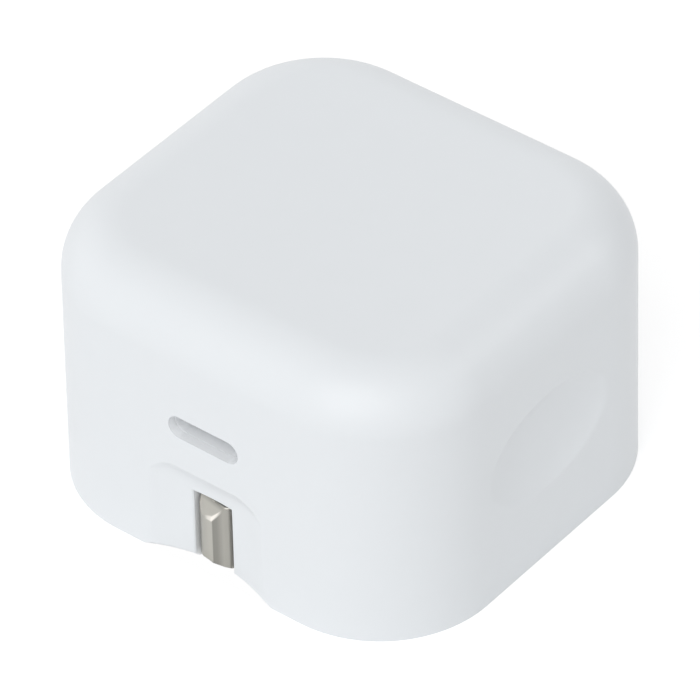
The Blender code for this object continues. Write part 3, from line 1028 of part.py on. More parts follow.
def build_adapter():
    clear_scene()
    finishes = {
        "housing": material("white_housing", (0.84, 0.85, 0.86), 0.35),
        "plate": material("white_plate", (0.80, 0.81, 0.82), 0.45),
        "frame": material("grey_frame", (0.55, 0.56, 0.57), 0.50),
        "mechanism": material("ivory_mechanism", (0.78, 0.77, 0.72), 0.40),
        "nickel": material("nickel_pin", (0.66, 0.62, 0.57), 0.28, 1.0),
        "sleeve": material("black_sleeve", (0.02, 0.02, 0.02), 0.45),
        "steel": material("bright_steel", (0.62, 0.63, 0.64), 0.30, 1.0),
        "brass": material("contact_brass", (0.72, 0.55, 0.25), 0.30, 1.0),
        "tongue": material("tongue_plastic", (0.72, 0.73, 0.74), 0.50),
        "board": material("green_board", (0.03, 0.17, 0.07), 0.45),
        "ferrite": material("dark_ferrite", (0.06, 0.06, 0.065), 0.60),
        "bobbin": material("bobbin_plastic", (0.05, 0.05, 0.05), 0.55),
        "copper": material("copper_winding", (0.72, 0.36, 0.20), 0.35, 1.0),
        "can": material("capacitor_sleeve", (0.08, 0.09, 0.12), 0.40),
        "yellow": material("filter_yellow", (0.80, 0.60, 0.10), 0.45),
        "dark": material("dark_moulding", (0.04, 0.04, 0.04), 0.50),
        "blue": material("safety_blue", (0.10, 0.28, 0.60), 0.45),
        "film": material("barrier_film", (0.75, 0.74, 0.66), 0.40),
        "aluminium": material("spreader_aluminium", (0.80, 0.81, 0.82), 0.35, 1.0),
        "pad": material("pad_silicone", (0.45, 0.50, 0.56), 0.80),
    }
    build_housing(finishes["housing"])
    build_pin_plate(finishes["plate"])
    build_mechanism_frame(finishes["frame"])
    build_frame_screws(finishes["steel"])
    build_detent_spring(finishes["steel"])
    axle_end = LUG_END_X
    add_piece("earth_axle", cylinder(AXLE_RADIUS, "x", -axle_end, axle_end, (EARTH_PIVOT_Y, EARTH_PIVOT_Z)),
              finishes["steel"])

    earth_hinge = add_pivot("earth_hinge", Vector((0.0, EARTH_PIVOT_Y, EARTH_PIVOT_Z)))
    hang_on(earth_hinge, build_earth_pin(finishes["nickel"]), build_earth_carrier(finishes["mechanism"]))

    line_hinge = add_pivot("line_hinge", Vector((0.0, LINE_PIVOT_Y, LINE_PIVOT_Z)))
    hang_on(line_hinge, build_pin_yoke(finishes["mechanism"]))
    for name, side in (("live", -1), ("neutral", 1)):
        hang_on(line_hinge, build_line_pin(f"{name}_pin", side, finishes["nickel"]),
                build_sleeve(f"{name}_sleeve", side, finishes["sleeve"]))
        build_contact(f"{name}_contact", side, finishes["brass"])

    slide_guide = add_pivot("slide_guide", Vector((0.0, RISER_BACK_Y, SLIDER_BOTTOM)))
    hang_on(slide_guide, build_drive_slider(finishes["mechanism"]))

    build_socket(finishes["steel"], finishes["tongue"])
    build_board(finishes["board"])
    build_components(finishes)


build_adapter()
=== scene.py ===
"""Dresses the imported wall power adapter: satin white housing, folding nickel pins, socket and electronics.

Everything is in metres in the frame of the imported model: +Z up from the plug face, -Y the socket side.
"""

import json
from math import cos, exp, hypot, log, pi, radians, sin, sqrt

import bmesh
import bpy
from mathutils import Matrix, Vector


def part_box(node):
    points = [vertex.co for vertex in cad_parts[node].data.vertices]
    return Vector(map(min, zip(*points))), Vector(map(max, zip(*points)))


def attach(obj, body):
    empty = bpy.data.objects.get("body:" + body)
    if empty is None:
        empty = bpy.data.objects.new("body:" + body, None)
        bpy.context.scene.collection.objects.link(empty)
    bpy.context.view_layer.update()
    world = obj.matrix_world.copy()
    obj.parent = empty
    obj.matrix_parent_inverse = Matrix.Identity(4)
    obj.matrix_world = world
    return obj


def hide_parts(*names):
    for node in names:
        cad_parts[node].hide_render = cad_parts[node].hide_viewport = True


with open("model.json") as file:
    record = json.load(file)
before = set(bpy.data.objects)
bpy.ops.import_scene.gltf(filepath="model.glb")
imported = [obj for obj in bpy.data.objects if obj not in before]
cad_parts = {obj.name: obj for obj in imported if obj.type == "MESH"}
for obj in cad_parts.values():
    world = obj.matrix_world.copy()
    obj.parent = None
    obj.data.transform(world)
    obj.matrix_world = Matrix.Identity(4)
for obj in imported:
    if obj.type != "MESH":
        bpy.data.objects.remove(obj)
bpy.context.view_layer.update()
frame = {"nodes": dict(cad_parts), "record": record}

# --------------------------------------- sizes repeated from the solids
BODY = Vector((0.0476, 0.0450, 0.0305))
CORNER_RADIUS = 0.0126
TOP_FILLET = 0.00615
WALL_DRAFT = 0.0002  # each side leans in by this much from the base to the top
WALL = 0.0020
RIM_WALL = 0.0014  # wall left outside the pin plate
PLATE_THICKNESS = 0.0020
SEAT_GAP = 0.00015  # between fixed pieces that touch

PORT_Z = 0.0168
SOCKET_SIZE = (0.00834, 0.00256)
SOCKET_SHEET = 0.0003

SCOOP_HEIGHT = 0.01195
SCOOP_DEPTH = 0.0013
SCOOP_RADIUS = 0.0182  # of the hollow back, about a vertical axis
SCOOP_LIP_HEIGHT = 0.00075  # taken off the scoop's lower edge in the middle
SCOOP_LIP_RADIUS = 0.0219  # of the drum that takes it off in a shallow arc
SCOOP_LIP_TILT = radians(43.3)
BACKING_X = 0.00895  # half width of the thick wall behind the scoop
BACKING_Y = -0.0190  # and the place of its inner side
PIN_SLOT_HALF = 0.0023

RECESS_SIZE = (0.0180, 0.0112)
RECESS_DEPTH = 0.0011
RECESS_Z = 0.0140
RECESS_EDGE_SHARE = 0.8  # share of the hollow's full ellipse that the wall cuts

EARTH_SHOULDER_Y = 0.0013  # where the earth pin's root begins
PIN_NECK_STEP = 0.0008  # how much smaller each side of the root is

# --------------------------------------- sizes fitted more closely than those of the solids
PORT_SIZE = (0.00836, 0.00252)
PORT_WALL = 0.00102  # wall left in front of the receptacle
SCOOP_WIDTH = 0.0148  # a little past the lines where the hollow back runs out into the face
SCOOP_CORNER = 0.0043
SCOOP_RIM_SOFTNESS = 0.00007
LEDGE_SLOPE = 0.55  # inward step of the ledge over the scoop for each step down
LEDGE_FOOT = 4  # the higher, the tighter the corner between the ledge and the hollow back
PIN_SLOT_TOP = 0.00865
RECESS_RIM_SOFTNESS = 0.00003
RECESS_REACH = 1.04  # the soft rim ends on the flat part of the wall

TIP_FACET_SLOPE = 0.12  # the fall of the end's two facets for each step away from the ridge
TIP_SIDE_SLOPE = 0.65  # and of the steeper ones beside them
TIP_SIDE_X = 0.00135  # where these begin
TIP_BEVEL_DROP = 0.0020  # from the pin's top to the upper end of the ridge, where the bevel begins
TIP_BEVEL_BACK = 3.75  # rise of the bevel for each step back
TIP_BEVEL_SIDE = 0.70  # and for each step to the side
TIP_FOOT_RISE = 0.0005  # from the pin's underside to the lower end of the ridge
TIP_FOOT_SLOPE = 0.35

SLOT_ROUNDING = 0.0002
PORT_ROUNDING = 0.00005
BLADE_ROUNDING = 0.00022
EDGE_ROUNDING = {  # the nodes that show as a copy with rounded edges
    "pin_plate": 0.00012,
    "live_pin": 0.00012,
    "neutral_pin": 0.00012,
    "live_sleeve": 0.0001,
    "neutral_sleeve": 0.0001,
    "earth_carrier": 0.00012,
    "pin_yoke": 0.00012,
    "drive_slider": 0.00008,
    "usb_shell": 0.00008,
}

# --------------------------------------- fineness
CORNER_STEPS = 28
FILLET_STEPS = 18
INNER_CORNER_STEPS = 10
INNER_FILLET_STEPS = 6
FLOOR_CORNER_STEPS = 16
PORT_END_STEPS = 14
SEAT_END_STEPS = 8
SCOOP_STEPS = 80
SCOOP_REACH = 0.55  # half width of the cutting surface, as a share of the scoop's width
LIP_STEPS = 240
RECESS_STEPS = 96
RECESS_RINGS = 32
RIM_STEPS = 3
BLADE_STEPS = 4
EDGE_STEPS = 2

RIM_REACH = 0.0003  # an edge this near to a rim belongs to it
SLOT_RIM_PLAY = 0.00001  # how far outside the slot's sides one of its own edges may lie
CREASE_ANGLE = radians(30)  # an edge sharper than this may be rounded
SMOOTH_ANGLE = radians(35)  # an edge flatter than this is shaded smooth
SAME_PLACE = 1e-7  # coordinates nearer than this are taken as equal
ROUND_END_GAP = 1e-6  # keeps the two arcs of a round end apart
SPIN_WELD = 1e-8
HOUSING_WELD = 2e-7
HOUSING_FLATNESS = radians(0.05)
COPY_WELD = 1e-6
COPY_FLATNESS = radians(0.5)
BLADE_WELD = 2e-6

# --------------------------------------- colours
BLACK = (0.0, 0.0, 0.0)
WHITE = (1.0, 1.0, 1.0)
NICKEL = (0.47, 0.458, 0.419)
# painted highlight along the earth pin's bevel
TIP_PAINTED_HIGHLIGHT = (0.90, 0.86, 0.80)
# painted light: a pale colour put on shaded walls in the socket opening, the pin slot and the receptacle's
# mouth
PAINTED_LIGHT_TONE = (0.955, 0.975, 0.995)
ENAMELLED_COPPER = (0.80, 0.36, 0.16)
SOLDER_MASK = (0.02, 0.13, 0.05)
MASKED_COPPER = (0.05, 0.25, 0.10)
TINNED_COPPER = (0.70, 0.70, 0.68)
SLEEVE_FILM = (0.05, 0.06, 0.09)
SLEEVE_BAND = (0.45, 0.47, 0.50)
BARE_ALUMINIUM = (0.78, 0.78, 0.79)
FLOOR_GREY = (0.80, 0.80, 0.80)

# --------------------------------------- patterns, whose scales are repeats for each metre
MOTTLE_SCALE = 260.0
GLOSS_SCALE = 900.0
GLOSS_SPREAD = 0.05
BRUSH_SCALE = 9000.0
BRUSH_DEPTH = 0.000003
BRUSH_SHADE = 0.9  # tone of the darkest lines
BRUSH_ROUGHNESS = 0.08
CLOUD_SCALE = 700.0
CLOUD_ROUGHNESS = 0.06
ALONG_Z = (1.0, 1.0, 0.05)
PAINTED_LIGHT_BACK_Y = -0.0198  # how far the painted light goes into the receptacle
PORT_PAINTED_LIGHT_BOX = ((-0.0043, -0.0223, 0.0154), (0.0043, -0.0200, 0.0182))  # painted light: the shaded walls inside this box show paler than the outside
# painted light: the pin slot's shaded walls inside this box show paler too
SLOT_PAINTED_LIGHT_BOX = ((-0.0025, -0.0211, -0.0001), (0.0025, -0.0180, 0.0089))

WIRE_PITCH = 0.00032
WIRE_WOBBLE = 0.6  # of the turns, in radians
WIRE_DEPTH = 0.00008
WIRE_SHADE = 0.35  # tone of the grooves: painted shade between the turns
WIRE_ROUGHNESS = 0.42  # in the grooves
WIRE_GLOSS = 0.14  # taken off it on the turns

TRACK_SCALE = 420.0
TRACK_WIDTH = 0.06
PAD_SCALE = 640.0
PAD_WIDTH = 0.16
COPPER_DEPTH = 0.00002
BOARD_GRAIN_SCALE = 3000.0
BOARD_GRAIN = 0.05
BOARD_ROUGHNESS = 0.42
PAD_GLOSS = 0.12

CANS = ("bulk_capacitor_2", "output_capacitor_2")  # one of each pair
CAN_LAP = 0.0007  # how far the sleeve laps over a capacitor's top
CAN_BAND_ACROSS = 900.0
CAN_BAND_ALONG = 300.0
CAN_BAND_EDGE = 0.92
CAN_ROUGHNESS = 0.38
CAN_SPREAD = 0.08
CAN_GLOSS_SCALE = 1200.0
CAN_GRAIN_SCALE = 2600.0
CAN_GRAIN_DEPTH = 0.000008

# colour, roughness, tone of the dull places, scale and depth of the grain, boxes whose walls get painted
# light
MOULDINGS = {
    "white_housing": ((0.838, 0.868, 0.895), 0.40, 0.985, 4200.0, 0.000004, (PORT_PAINTED_LIGHT_BOX, SLOT_PAINTED_LIGHT_BOX)),
    "white_plate": ((0.80, 0.808, 0.815), 0.50, 0.97, 2600.0, 0.00002),
    "grey_frame": ((0.55, 0.56, 0.57), 0.52, 0.9, 2200.0, 0.00002),
    "ivory_mechanism": ((0.78, 0.77, 0.72), 0.38, 0.94, 3000.0, 0.000008),
    "black_sleeve": ((0.02, 0.02, 0.021), 0.42, 0.8, 3400.0, 0.00001),
    "tongue_plastic": ((0.72, 0.73, 0.74), 0.45, 0.95, 4200.0, 0.000006),
    "dark_ferrite": ((0.065, 0.065, 0.07), 0.62, 0.6, 1800.0, 0.00003),
    "bobbin_plastic": ((0.05, 0.05, 0.05), 0.5, 0.8, 5200.0, 0.000006),
    "filter_yellow": ((0.80, 0.60, 0.10), 0.40, 0.9, 5200.0, 0.000006),
    "dark_moulding": ((0.04, 0.04, 0.042), 0.5, 0.7, 2400.0, 0.00002),
    "safety_blue": ((0.10, 0.28, 0.60), 0.35, 0.85, 1500.0, 0.00003),
    "barrier_film": ((0.75, 0.74, 0.66), 0.35, 0.95, 5200.0, 0.000006),
    "pad_silicone": ((0.45, 0.50, 0.56), 0.75, 0.92, 1600.0, 0.00003),
}
# colour, roughness, share of the brushing's scale on each axis, and where the painted light ends
METALS = {
    "nickel_pin": (NICKEL, 0.30, ALONG_Z),
    "bright_steel": ((0.72, 0.725, 0.73), 0.30, (1.0, 0.06, 1.0), PAINTED_LIGHT_BACK_Y),
    "contact_brass": ((0.80, 0.62, 0.30), 0.28, (1.0, 0.06, 0.06)),
    "spreader_aluminium": ((0.82, 0.82, 0.83), 0.36, (1.0, 0.04, 1.0)),
}

# --------------------------------------- painted shade and highlight on the earth pin's ground tip
MM = 1000.0  # the next values count in millimetres, across the pin from its middle and back from its tip
TIP_HALF_WIDTH = 2.0
TIP_PAINTED_SHADES = (  # place across, and the share of the metal's tone that the facets show there: painted shade and reflection
    (-2.0, 0.86), (-1.2, 0.86), (-0.3, 0.98), (0.0, 1.0), (0.12, 0.56),
    (0.6, 0.60), (1.3, 0.84), (1.72, 0.80), (1.86, 0.46), (2.0, 0.40),
)
TIP_HIGHLIGHT_SHARES = (  # place across, and the strength of the painted highlight along the bevel
    (-2.0, 0.0), (-0.96, 0.0), (-0.56, 0.5), (-0.16, 0.75), (0.0, 1.0), (0.8, 0.9), (1.24, 0.75), (1.44, 0.0),
)
TIP_SHADES_RISE = -0.04  # the facets' shades end just under the bevel
TIP_SHADES_BACK = 0.56
TIP_LINE_BACK = 1.0
TIP_LINE_BEHIND = 2.3  # how fast the line fades behind the facets
TIP_LINE_BELOW = 0.65  # and below the bevel
TIP_LINE_WIDTH = 0.11
TIP_LINE_SWELL = 0.10  # added to its width in the middle
TIP_LINE_SWELL_REACH = 1.2
TIP_LINE_EDGE = 1.3  # in widths: where the line ends, and where it has its full strength
TIP_LINE_CORE = 0.5
TIP_SHADE = 0.92  # tone of the darkest lines of the brushing
TIP_ROUGHNESS = 0.26
TIP_BRUSH_DEPTH = 0.000002  # in metres again, like the next two, which count up from the ridge's upper end
CEILING_SHADE_START = 0.0013
CEILING_SHADE_END = 0.0019
CEILING_SHADE = 0.3

# --------------------------------------- camera, floor and light
TARGET = Vector((-0.00013, -0.00011, 0.0129))
AZIMUTH = radians(39.1135)
ELEVATION = radians(39.9285)
ROLL = radians(-1.2356)
DISTANCE = 0.6896
LENS = 370.6
SENSOR_WIDTH = 36.0
NEAREST = 0.01
FLOOR_DROP = 0.00002
FLOOR_REACH = 3.0
FLOOR_GLOW = 0.43
LAMPS = (  # name, energy, then in degrees elevation, compass angle counted from +X towards +Y, and spread
    ("key", 1.365, 35, 285, 60),
    ("back", 0.318, 12, 120, 60),
    ("side", 0.252, 34, 47, 28),
    ("left", 0.503, 12, 185, 60),
)
WORLD_STRENGTH = 0.494

SLOT_OF = {row["node"]: row["material_slot"] for row in frame["record"]["subparts"]}
BODY_OF = {node: body for body, nodes in frame["record"]["behaviour"]["bodies"].items() for node in nodes}


# --------------------------------------- shader nodes as expressions
class Value:
    """A shader socket that takes part in plain arithmetic; every operation adds its Math node."""

    def __init__(self, nodes, socket):
        self.nodes = nodes
        self.socket = socket

    def math(self, operation, first, second=0.0):
        return self.nodes.node("Math", {"operation": operation}, {0: first, 1: second})

    def __add__(self, other):
        return self.math("ADD", self, other)

    def __sub__(self, other):
        return self.math("SUBTRACT", self, other)

    def __rsub__(self, other):
        return self.math("SUBTRACT", other, self)

    def __mul__(self, other):
        return self.math("MULTIPLY", self, other)

    def __truediv__(self, other):
        return self.math("DIVIDE", self, other)

    def __gt__(self, other):
        return self.math("GREATER_THAN", self, other)

    def __lt__(self, other):
        return self.math("LESS_THAN", self, other)

    __radd__ = __add__
    __rmul__ = __mul__

    def at_least(self, other):
        return self.math("MAXIMUM", self, other)

    def at_most(self, other):
        return self.math("MINIMUM", self, other)

    def absolute(self):
        return self.math("ABSOLUTE", self)

    def sine(self):
        return self.math("SINE", self)


class Nodes:
    """The calls that build a node tree."""

    def __init__(self, tree):
        self.tree = tree

    def node(self, kind, settings=None, sockets=None, output=0):
        """A node with its settings made first, and then the values or links of its sockets."""
        made = self.tree.nodes.new(f"ShaderNode{kind}")
        for key, value in (settings or {}).items():
            if key == "stops":
                elements = made.color_ramp.elements
                while len(elements) < len(value):
                    elements.new(1.0)
                for element, (position, color) in zip(elements, value):
                    element.position = position
                    element.color = (*color, 1.0)
            else:
                setattr(made, key, value)
        for key, value in (sockets or {}).items():
            self.put(made.inputs[key], value)
        return Value(self, made.outputs[output]) if made.outputs else None

    def put(self, socket, value):
        if isinstance(value, Value):
            self.tree.links.new(value.socket, socket)
        elif socket.type == "RGBA" and len(value) == 3:
            socket.default_value = (*value, 1.0)
        else:
            socket.default_value = value

    def choice(self, share, first, second):
        """The first shader where share is 0 and the second where it is 1."""
        return self.node("MixShader", {}, {"Fac": share, 1: first, 2: second})

    def seen_directly(self):
        """1 for a ray that shows the background: from the camera, in a gloss or through glass."""
        camera, gloss, glass = (self.node("LightPath", output=f"Is {kind} Ray")
                                for kind in ("Camera", "Glossy", "Transmission"))
        return camera.at_least(gloss.at_least(glass))


class Finish(Nodes):
    """One material: its node tree and its main shader."""

    def __init__(self, name):
        self.material = bpy.data.materials.new(name)
        self.material.use_nodes = True
        super().__init__(self.material.node_tree)
        self.shader = self.tree.nodes["Principled BSDF"]
        self.place = self.node("TexCoord", output="Object")

    def set(self, **values):
        """Values or links for the shader's own sockets, named with _ for a space."""
        for key, value in values.items():
            self.put(self.shader.inputs[key.replace("_", " ").title()], value)
        return self.material

    def noise(self, scale, detail=3.0, roughness=0.5, place=None):
        sockets = {"Vector": place or self.place, "Scale": scale, "Detail": detail, "Roughness": roughness}
        return self.node("TexNoise", {}, sockets)

    def brushing(self, shares):
        """Fine lines, drawn out along the axis with the small share of their scale."""
        scale = tuple(BRUSH_SCALE * share for share in shares)
        drawn_out = self.node("Mapping", {}, {"Vector": self.place, "Scale": scale})
        return self.noise(1.0, detail=4.0, roughness=0.6, place=drawn_out)

    def axis(self, name):
        return self.node("SeparateXYZ", {}, {"Vector": self.place}, output=name)

    def inside(self, low, high):
        """1 inside a box given by two corners, else 0."""
        share = 1.0
        for name, least, most in zip("XYZ", low, high):
            place = self.axis(name)
            share = (place > least) * (place < most) * share
        return share

    def tint(self, share, first, second):
        """Colour that goes from the first to the second as share goes from 0 to 1."""
        return self.node("MixRGB", {}, {"Fac": share, "Color1": first, "Color2": second})

    def ramp(self, place, rows, reach):
        """Grey that follows rows of a place between -reach and reach and the grey's value there."""
        stops = tuple(((across + reach) / (2 * reach), (grey, grey, grey)) for across, grey in rows)
        return self.node("ValToRGB", {"stops": stops}, {"Fac": (place + reach) / (2 * reach)})

    def soft_step(self, value, start, end, most=1.0):
        """0 up to the start and most from the end on, with a soft change between them."""
        sockets = {"Value": value, "From Min": start, "From Max": end, "To Min": 0.0, "To Max": most}
        return self.node("MapRange", {"interpolation_type": "SMOOTHSTEP"}, sockets)

    def bump(self, height, distance, strength=1.0):
        return self.node("Bump", {}, {"Height": height, "Distance": distance, "Strength": strength})


# --------------------------------------- finishes
def dimmed(color, share):
    return tuple(channel * share for channel in color)


def moulded(name, color, roughness, shade, grain_scale, grain_depth, painted_light_boxes=()):
    """Moulded plastic: faint mottling, uneven gloss and a fine mould grain, with painted light that makes the
    shaded walls inside boxes paler.
    """
    finish = Finish(name)
    grain = finish.noise(grain_scale, detail=2.0)
    base = finish.tint(finish.noise(MOTTLE_SCALE, detail=4.0), dimmed(color, shade), color)
    # painted light: paler walls inside each box, where they lie in shade
    for low, high in painted_light_boxes:
        base = finish.tint(finish.inside(low, high), base, PAINTED_LIGHT_TONE)
    uneven = 2 * GLOSS_SPREAD * finish.noise(GLOSS_SCALE, detail=2.0)
    return finish.set(base_color=base, roughness=roughness - GLOSS_SPREAD + uneven,
                      normal=finish.bump(grain, grain_depth))


def satin_metal(name, color, roughness, brushed, painted_light_front=None):
    """Plated or rolled metal with fine lines; the brushing is drawn out along the axis with the small share.

    In front of painted_light_front, a place on the Y axis, the metal turns pale and not metallic: painted
    light in the receptacle's shaded mouth.
    """
    finish = Finish(name)
    lines = finish.brushing(brushed)
    cloud = finish.noise(CLOUD_SCALE)
    base = finish.tint(lines, dimmed(color, BRUSH_SHADE), color)
    bare = 1.0
    # painted light: pale and not metallic in front of this place, where the receptacle's mouth lies in shade
    if painted_light_front is not None:
        bare = finish.axis("Y") > painted_light_front
        base = finish.tint(bare, PAINTED_LIGHT_TONE, base)
    uneven = BRUSH_ROUGHNESS * lines + CLOUD_ROUGHNESS * cloud
    return finish.set(base_color=base, metallic=bare, roughness=roughness - CLOUD_ROUGHNESS + uneven,
                      normal=finish.bump(lines, BRUSH_DEPTH))


def tip_with_painted_light(name, color, tip_y, apex_z):
    """Satin nickel with painted shade and reflection that set the end facets apart in tone, painted shade
    under the slot's ceiling and a painted highlight along the slanting bevel.
    """
    finish = Finish(name)
    lines = finish.brushing(ALONG_Z)
    base = finish.tint(lines, dimmed(color, TIP_SHADE), color)

    x = finish.axis("X") * MM
    away = x.absolute()
    back = (finish.axis("Y") - tip_y) * MM
    rise = (finish.axis("Z") - apex_z) * MM - TIP_BEVEL_BACK * back - TIP_BEVEL_SIDE * x
    side_fall = (away - TIP_SIDE_X * MM) * (TIP_SIDE_SLOPE - TIP_FACET_SLOPE)
    behind = back - TIP_FACET_SLOPE * away - side_fall.at_least(0.0)

    # painted shade and reflection: each end facet darker or lighter by its place across the pin
    on_facets = (rise < TIP_SHADES_RISE) * (back < TIP_SHADES_BACK)
    facets = finish.tint(finish.ramp(x, TIP_PAINTED_SHADES, TIP_HALF_WIDTH), BLACK, base)
    # painted shade near the top, under the slot's ceiling
    under_ceiling = finish.soft_step(finish.axis("Z"), apex_z + CEILING_SHADE_START,
                                     apex_z + CEILING_SHADE_END, CEILING_SHADE)
    plain = finish.tint(on_facets, finish.tint(under_ceiling, base, BLACK), facets)

    # painted highlight: a bright line along the bevel's edge, widest in the middle
    from_bevel = TIP_LINE_BEHIND * behind.at_least(0.0) - TIP_LINE_BELOW * rise.at_most(0.0)
    width = TIP_LINE_WIDTH + TIP_LINE_SWELL * (1.0 - away / TIP_LINE_SWELL_REACH)
    glow = finish.soft_step(from_bevel / width, TIP_LINE_EDGE, TIP_LINE_CORE)
    line = glow * (back < TIP_LINE_BACK) * finish.ramp(x, TIP_HIGHLIGHT_SHARES, TIP_HALF_WIDTH)
    return finish.set(base_color=finish.tint(line, plain, TIP_PAINTED_HIGHLIGHT), metallic=1.0,
                      roughness=TIP_ROUGHNESS + BRUSH_ROUGHNESS * lines,
                      normal=finish.bump(lines, TIP_BRUSH_DEPTH))


def enamelled_wire(name, color, turns_axis):
    """Close turns of enamelled wire, counted along one axis, with painted shade in the grooves between them.
    """
    finish = Finish(name)
    wobble = WIRE_WOBBLE * finish.noise(GLOSS_SCALE, detail=2.0)
    wave = (finish.axis(turns_axis) * (2 * pi / WIRE_PITCH) + wobble).sine() * 0.5 + 0.5
    return finish.set(base_color=finish.tint(wave, dimmed(color, WIRE_SHADE), color), metallic=1.0,
                      roughness=WIRE_ROUGHNESS - WIRE_GLOSS * wave, normal=finish.bump(wave, WIRE_DEPTH))


def circuit_board(name):
    """Green solder mask over copper tracks, with tinned pads."""
    finish = Finish(name)
    cells = finish.node("TexVoronoi", {"feature": "DISTANCE_TO_EDGE"},
                        {"Vector": finish.place, "Scale": TRACK_SCALE})
    tracks = cells < TRACK_WIDTH
    spots = finish.node("TexVoronoi", {}, {"Vector": finish.place, "Scale": PAD_SCALE})
    pads = (spots < PAD_WIDTH) * (1 - tracks)
    mask = finish.tint(tracks, SOLDER_MASK, MASKED_COPPER)
    grain = BOARD_GRAIN * finish.noise(BOARD_GRAIN_SCALE)
    return finish.set(base_color=finish.tint(pads, mask, TINNED_COPPER), metallic=pads,
                      roughness=BOARD_ROUGHNESS - PAD_GLOSS * pads + grain,
                      normal=finish.bump(tracks + pads, COPPER_DEPTH))


def can_sleeve(name, cans):
    """Shrink sleeve with a paler band, lapped over the rim of a bare aluminium top.

    Each can named stands for the one opposite it too.
    """
    finish = Finish(name)
    x, y, z = (finish.axis(axis) for axis in "XYZ")
    away = x.absolute()
    top = 0.0
    for can in cans:
        low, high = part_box(can)
        middle = (low + high) / 2
        across, along = away - middle.x, y - middle.y
        disc = across * across + along * along < ((high.x - low.x) / 2 - CAN_LAP) ** 2
        top = top + disc * (z > high.z - CAN_LAP)
    band = (away * CAN_BAND_ACROSS + y * CAN_BAND_ALONG).sine() > CAN_BAND_EDGE
    sleeve = finish.tint(band, SLEEVE_FILM, SLEEVE_BAND)
    return finish.set(base_color=finish.tint(top, sleeve, BARE_ALUMINIUM), metallic=top,
                      roughness=CAN_ROUGHNESS - CAN_SPREAD * top + CAN_SPREAD * finish.noise(CAN_GLOSS_SCALE),
                      normal=finish.bump(finish.noise(CAN_GRAIN_SCALE, detail=2.0), CAN_GRAIN_DEPTH))


FINISHES = {slot: moulded(f"{slot}_finish", *row) for slot, row in MOULDINGS.items()}
FINISHES.update((slot, satin_metal(f"{slot}_finish", *row)) for slot, row in METALS.items())
FINISHES["green_board"] = circuit_board("green_board_finish")
FINISHES["copper_winding"] = enamelled_wire("copper_winding_finish", ENAMELLED_COPPER, "Y")
FINISHES["capacitor_sleeve"] = can_sleeve("capacitor_sleeve_finish", CANS)


# --------------------------------------- objects and meshes
def add_object(name, bm, smooth=True):
    """Object at the origin from a mesh that this call uses up."""
    bmesh.ops.recalc_face_normals(bm, faces=bm.faces)
    mesh = bpy.data.meshes.new(name)
    bm.to_mesh(mesh)
    bm.free()
    if smooth:
        mesh.shade_smooth()
        mesh.set_sharp_from_angle(angle=SMOOTH_ANGLE)
    made = bpy.data.objects.new(name, mesh)
    bpy.context.scene.collection.objects.link(made)
    return made


def dress(piece, node):
    """The piece stands for a node: it takes the node's finish and rides where the node rides."""
    piece.data.materials.clear()
    piece.data.materials.append(FINISHES[SLOT_OF[node]])
    normals = piece.modifiers.new("even_normals", "WEIGHTED_NORMAL")
    normals.keep_sharp = True
    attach(piece, BODY_OF[node])
    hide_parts(node)
    return piece


def plain_finish(node):
    """Give a node's own mesh the finish of its slot."""
    piece = frame["nodes"][node]
    for index in range(len(piece.data.materials)):
        piece.data.materials[index] = FINISHES[SLOT_OF[node]]


def cut(piece, bm):
    """Take a body, which this call uses up, away from a piece."""
    tool = add_object("tool", bm, smooth=False)
    step = piece.modifiers.new("cut", "BOOLEAN")
    step.operation = "DIFFERENCE"
    step.solver = "EXACT"
    step.object = tool
    graph = bpy.context.evaluated_depsgraph_get()
    shaped = bpy.data.meshes.new_from_object(piece.evaluated_get(graph))
    piece.modifiers.remove(step)
    old = piece.data
    piece.data = shaped
    bpy.data.meshes.remove(old)
    mesh = tool.data
    bpy.data.objects.remove(tool)
    bpy.data.meshes.remove(mesh)


def without(bm, tool):
    """A body less another, as a mesh for a further cut."""
    piece = add_object("hollow", bm, smooth=False)
    cut(piece, tool)
    left = bmesh.new()
    left.from_mesh(piece.data)
    mesh = piece.data
    bpy.data.objects.remove(piece)
    bpy.data.meshes.remove(mesh)
    return left


def box(low, high):
    """Box between two corners."""
    low, high = Vector(low), Vector(high)
    bm = bmesh.new()
    place = Matrix.Translation((low + high) / 2) @ Matrix.Diagonal((high - low).to_4d())
    bmesh.ops.create_cube(bm, size=1.0, matrix=place)
    return bm


def bevel(bm, edges, width, steps):
    bmesh.ops.bevel(bm, geom=edges, offset=width, segments=steps, profile=0.5, affect="EDGES", material=-1)


def edges_along(bm, axis):
    """Edges whose ends differ only along one axis."""
    others = [index for index in range(3) if index != axis]
    return [edge for edge in bm.edges
            if all(abs(edge.verts[0].co[index] - edge.verts[1].co[index]) < SAME_PLACE for index in others)]


def rounded_box(low, high, axis, radius, steps):
    """Box whose edges along one axis are rounded."""
    bm = box(low, high)
    bevel(bm, edges_along(bm, axis), radius, steps)
    return bm


def merge(bm, distance, flatness):
    """One vertex for those that lie together, and one face for those that lie in a plane."""
    bmesh.ops.remove_doubles(bm, verts=bm.verts, dist=distance)
    bmesh.ops.dissolve_limit(bm, angle_limit=flatness, verts=bm.verts, edges=bm.edges)


def creases(bm):
    return [edge for edge in bm.edges if edge.is_manifold and edge.calc_face_angle(0.0) > CREASE_ANGLE]


